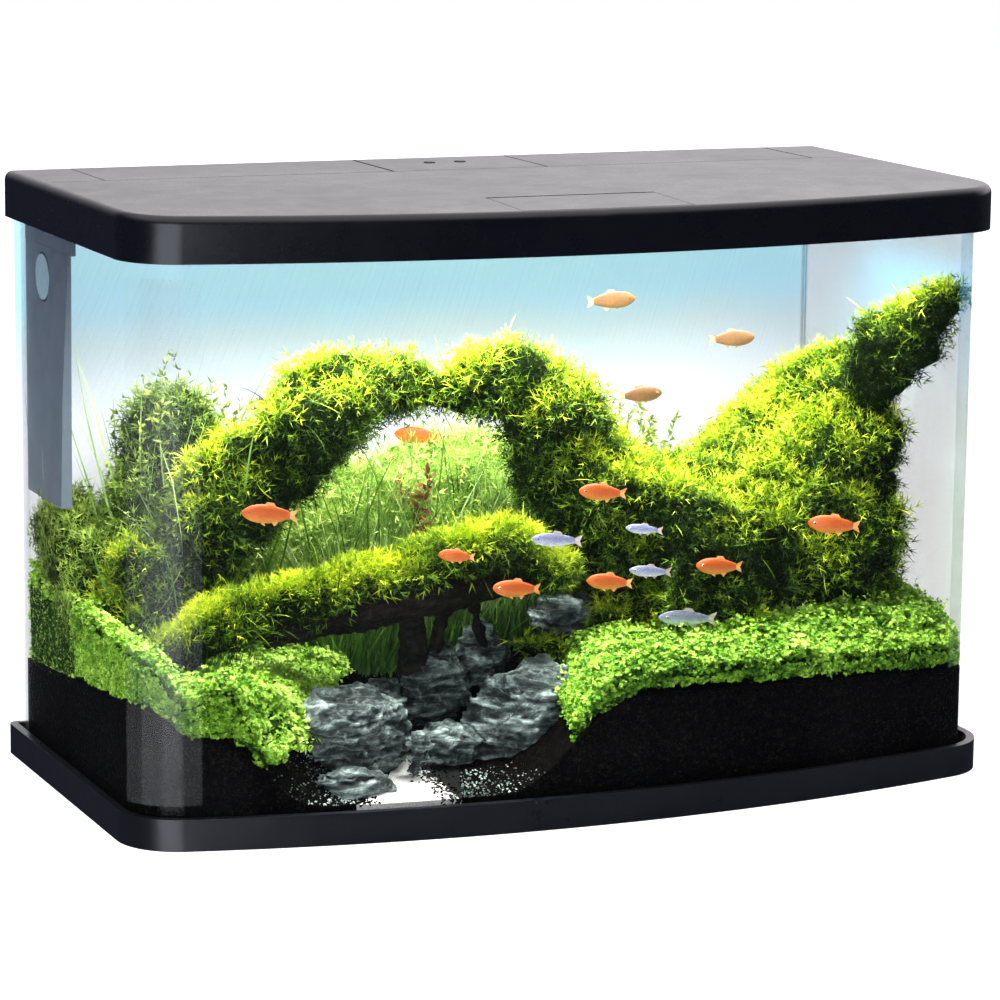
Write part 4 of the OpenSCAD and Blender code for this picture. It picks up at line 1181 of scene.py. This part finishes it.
def make_materials():
    return {
        "hood": moulded_plastic("hood_plastic", (0.0012, 0.0014, 0.003), (0.0024, 0.0026, 0.005), 0.27),
        "base": moulded_plastic("base_plastic", (0.0035, 0.0038, 0.006), (0.0065, 0.0068, 0.0095), 0.3),
        "dark": moulded_plastic("dark_plastic", (0.012, 0.012, 0.014), (0.022, 0.022, 0.025), 0.45),
        "white": moulded_plastic("white_plastic", (0.72, 0.73, 0.75), (0.84, 0.85, 0.86), 0.4),
        "glass": clear_glass("clear_glass"),
        "film": backdrop_film(),
        "filter": filter_plastic(),
        "cup": plain_look("cup_rubber", (0.17, 0.27, 0.34), (0.25, 0.36, 0.43), 120, 0.35, 0.0001),
        "silicone": plain_look("silicone", (0.6, 0.68, 0.72), (0.78, 0.84, 0.87), 150, 0.3, 0.0001,
                               Alpha=0.06),
        "sponge": plain_look("filter_sponge", (0.01, 0.011, 0.014), (0.05, 0.055, 0.07), 900, 0.9, 0.001),
        "steel": plain_look("polished_steel", (0.5, 0.5, 0.52), (0.66, 0.66, 0.68), 300, 0.22, 0.00005,
                            Metallic=1.0),
        "board": plain_look("circuit_board", (0.01, 0.07, 0.03), (0.02, 0.12, 0.05), 200, 0.4, 0.00005),
        "lens": lamp_lens(),
        "soil": soil_grains(),
        "sand": sand_grains(),
        "stone": veined_stone(),
        "wood": soaked_wood(),
        # Near-black core: partly dark moss, partly painted shade seen in the gaps between fronds
        "moss_core": core_look("moss_core", (0.002, 0.006, 0.001), (0.012, 0.03, 0.003)),
        "pale_core": core_look("pale_moss_core", (0.05, 0.12, 0.012), (0.3, 0.5, 0.07)),
        # Near-black core: partly dark carpet, partly painted shade seen in the gaps between leaves
        "carpet_core": core_look("carpet_core", (0.004, 0.014, 0.001), (0.02, 0.07, 0.005)),
        "moss": leaf_look("moss_fronds", MOSS_STOPS, 26, 0.14),
        "pale_moss": leaf_look("pale_moss_fronds", PALE_MOSS_STOPS, 20, 0.12),
        "olive_moss": leaf_look("olive_moss_fronds", OLIVE_MOSS_STOPS, 30, 0.14),
        "carpet": leaf_look("carpet_leaves", CARPET_STOPS, 40, 0.12, rough=0.45),
        "grass": leaf_look("grass_blades", GRASS_STOPS, 30, 0.1, rough=0.5),
        "stem_leaf": leaf_look("stem_leaves", [(0.0, (0.015, 0.03, 0.008)), (0.35, (0.12, 0.2, 0.03)),
                                               (0.7, (0.38, 0.5, 0.08)), (1.0, (0.62, 0.72, 0.2))], 30, 0.1),
        "red_leaf": leaf_look("red_stem_leaves", [(0.0, (0.05, 0.02, 0.008)), (0.45, (0.26, 0.1, 0.03)),
                                                  (1.0, (0.55, 0.3, 0.12))], 30, 0.1),
        "fish_orange": fish_skin("orange_skin", (0.36, 0.05, 0.004), (0.66, 0.1, 0.006), (0.7, 0.24, 0.03),
                                 0.35),
        "fish_pale": fish_skin("pale_skin", (0.1, 0.05, 0.02), (0.26, 0.12, 0.035), (0.42, 0.24, 0.08), 0.4),
        "fish_silver": fish_skin("silver_skin", (0.03, 0.04, 0.07), (0.26, 0.3, 0.6), (0.85, 0.87, 0.9),
                                 0.25),
        "fin_orange": fin_skin("orange_fin", (0.8, 0.28, 0.05), (0.95, 0.55, 0.2)),
        "fin_pale": fin_skin("pale_fin", (0.7, 0.4, 0.16), (0.85, 0.62, 0.35)),
        "fin_silver": fin_skin("silver_fin", (0.5, 0.3, 0.25), (0.7, 0.68, 0.68)),
        "fish_eye": eye_look("fish_eye", (0.6, 0.5, 0.3), (0.8, 0.75, 0.6), 0.2),
        "fish_pupil": eye_look("fish_pupil", (0.004, 0.004, 0.004), (0.012, 0.012, 0.012), 0.1),
        "algae_and_reflection": algae_and_reflection_film(),
        # Painted highlight: the corner sheets stand in for the strip light's reflection in the glass
        "corner_highlight_look": plain_look("painted_corner_highlight", (0.6, 0.63, 0.66), (0.85, 0.88, 0.9), 40, 0.5, 0.0001,
                            Alpha=0.02),
        "floor": plain_look("studio_floor", (0.9, 0.9, 0.9), (0.93, 0.93, 0.93), 4, 0.9, 0.0001,
                            Specular_IOR_Level=0.0, Emission_Color=(1, 1, 1, 1), Emission_Strength=0.55),
    }


def make_floor():
    """The studio floor the tank stands on. It is no part of the tank."""
    mesh = bpy.data.meshes.new("floor")
    mesh.from_pydata([(-6, -6, 0), (6, -6, 0), (6, 6, 0), (-6, 6, 0)], [], [(0, 1, 2, 3)])
    mesh.materials.append(MATERIALS["floor"])
    floor = bpy.data.objects.new("floor", mesh)
    SCENE.collection.objects.link(floor)
    floor.visible_glossy = False


SCENE.view_settings.view_transform = "Standard"
make_camera()
make_world()
make_lights()
MATERIALS = make_materials()
make_floor()
finish_cad()
make_hardscape()
plant_masses()
plant_banks()
plant_stems_and_grass()
make_algae_and_reflection()
make_corner_highlight()
make_shoal()
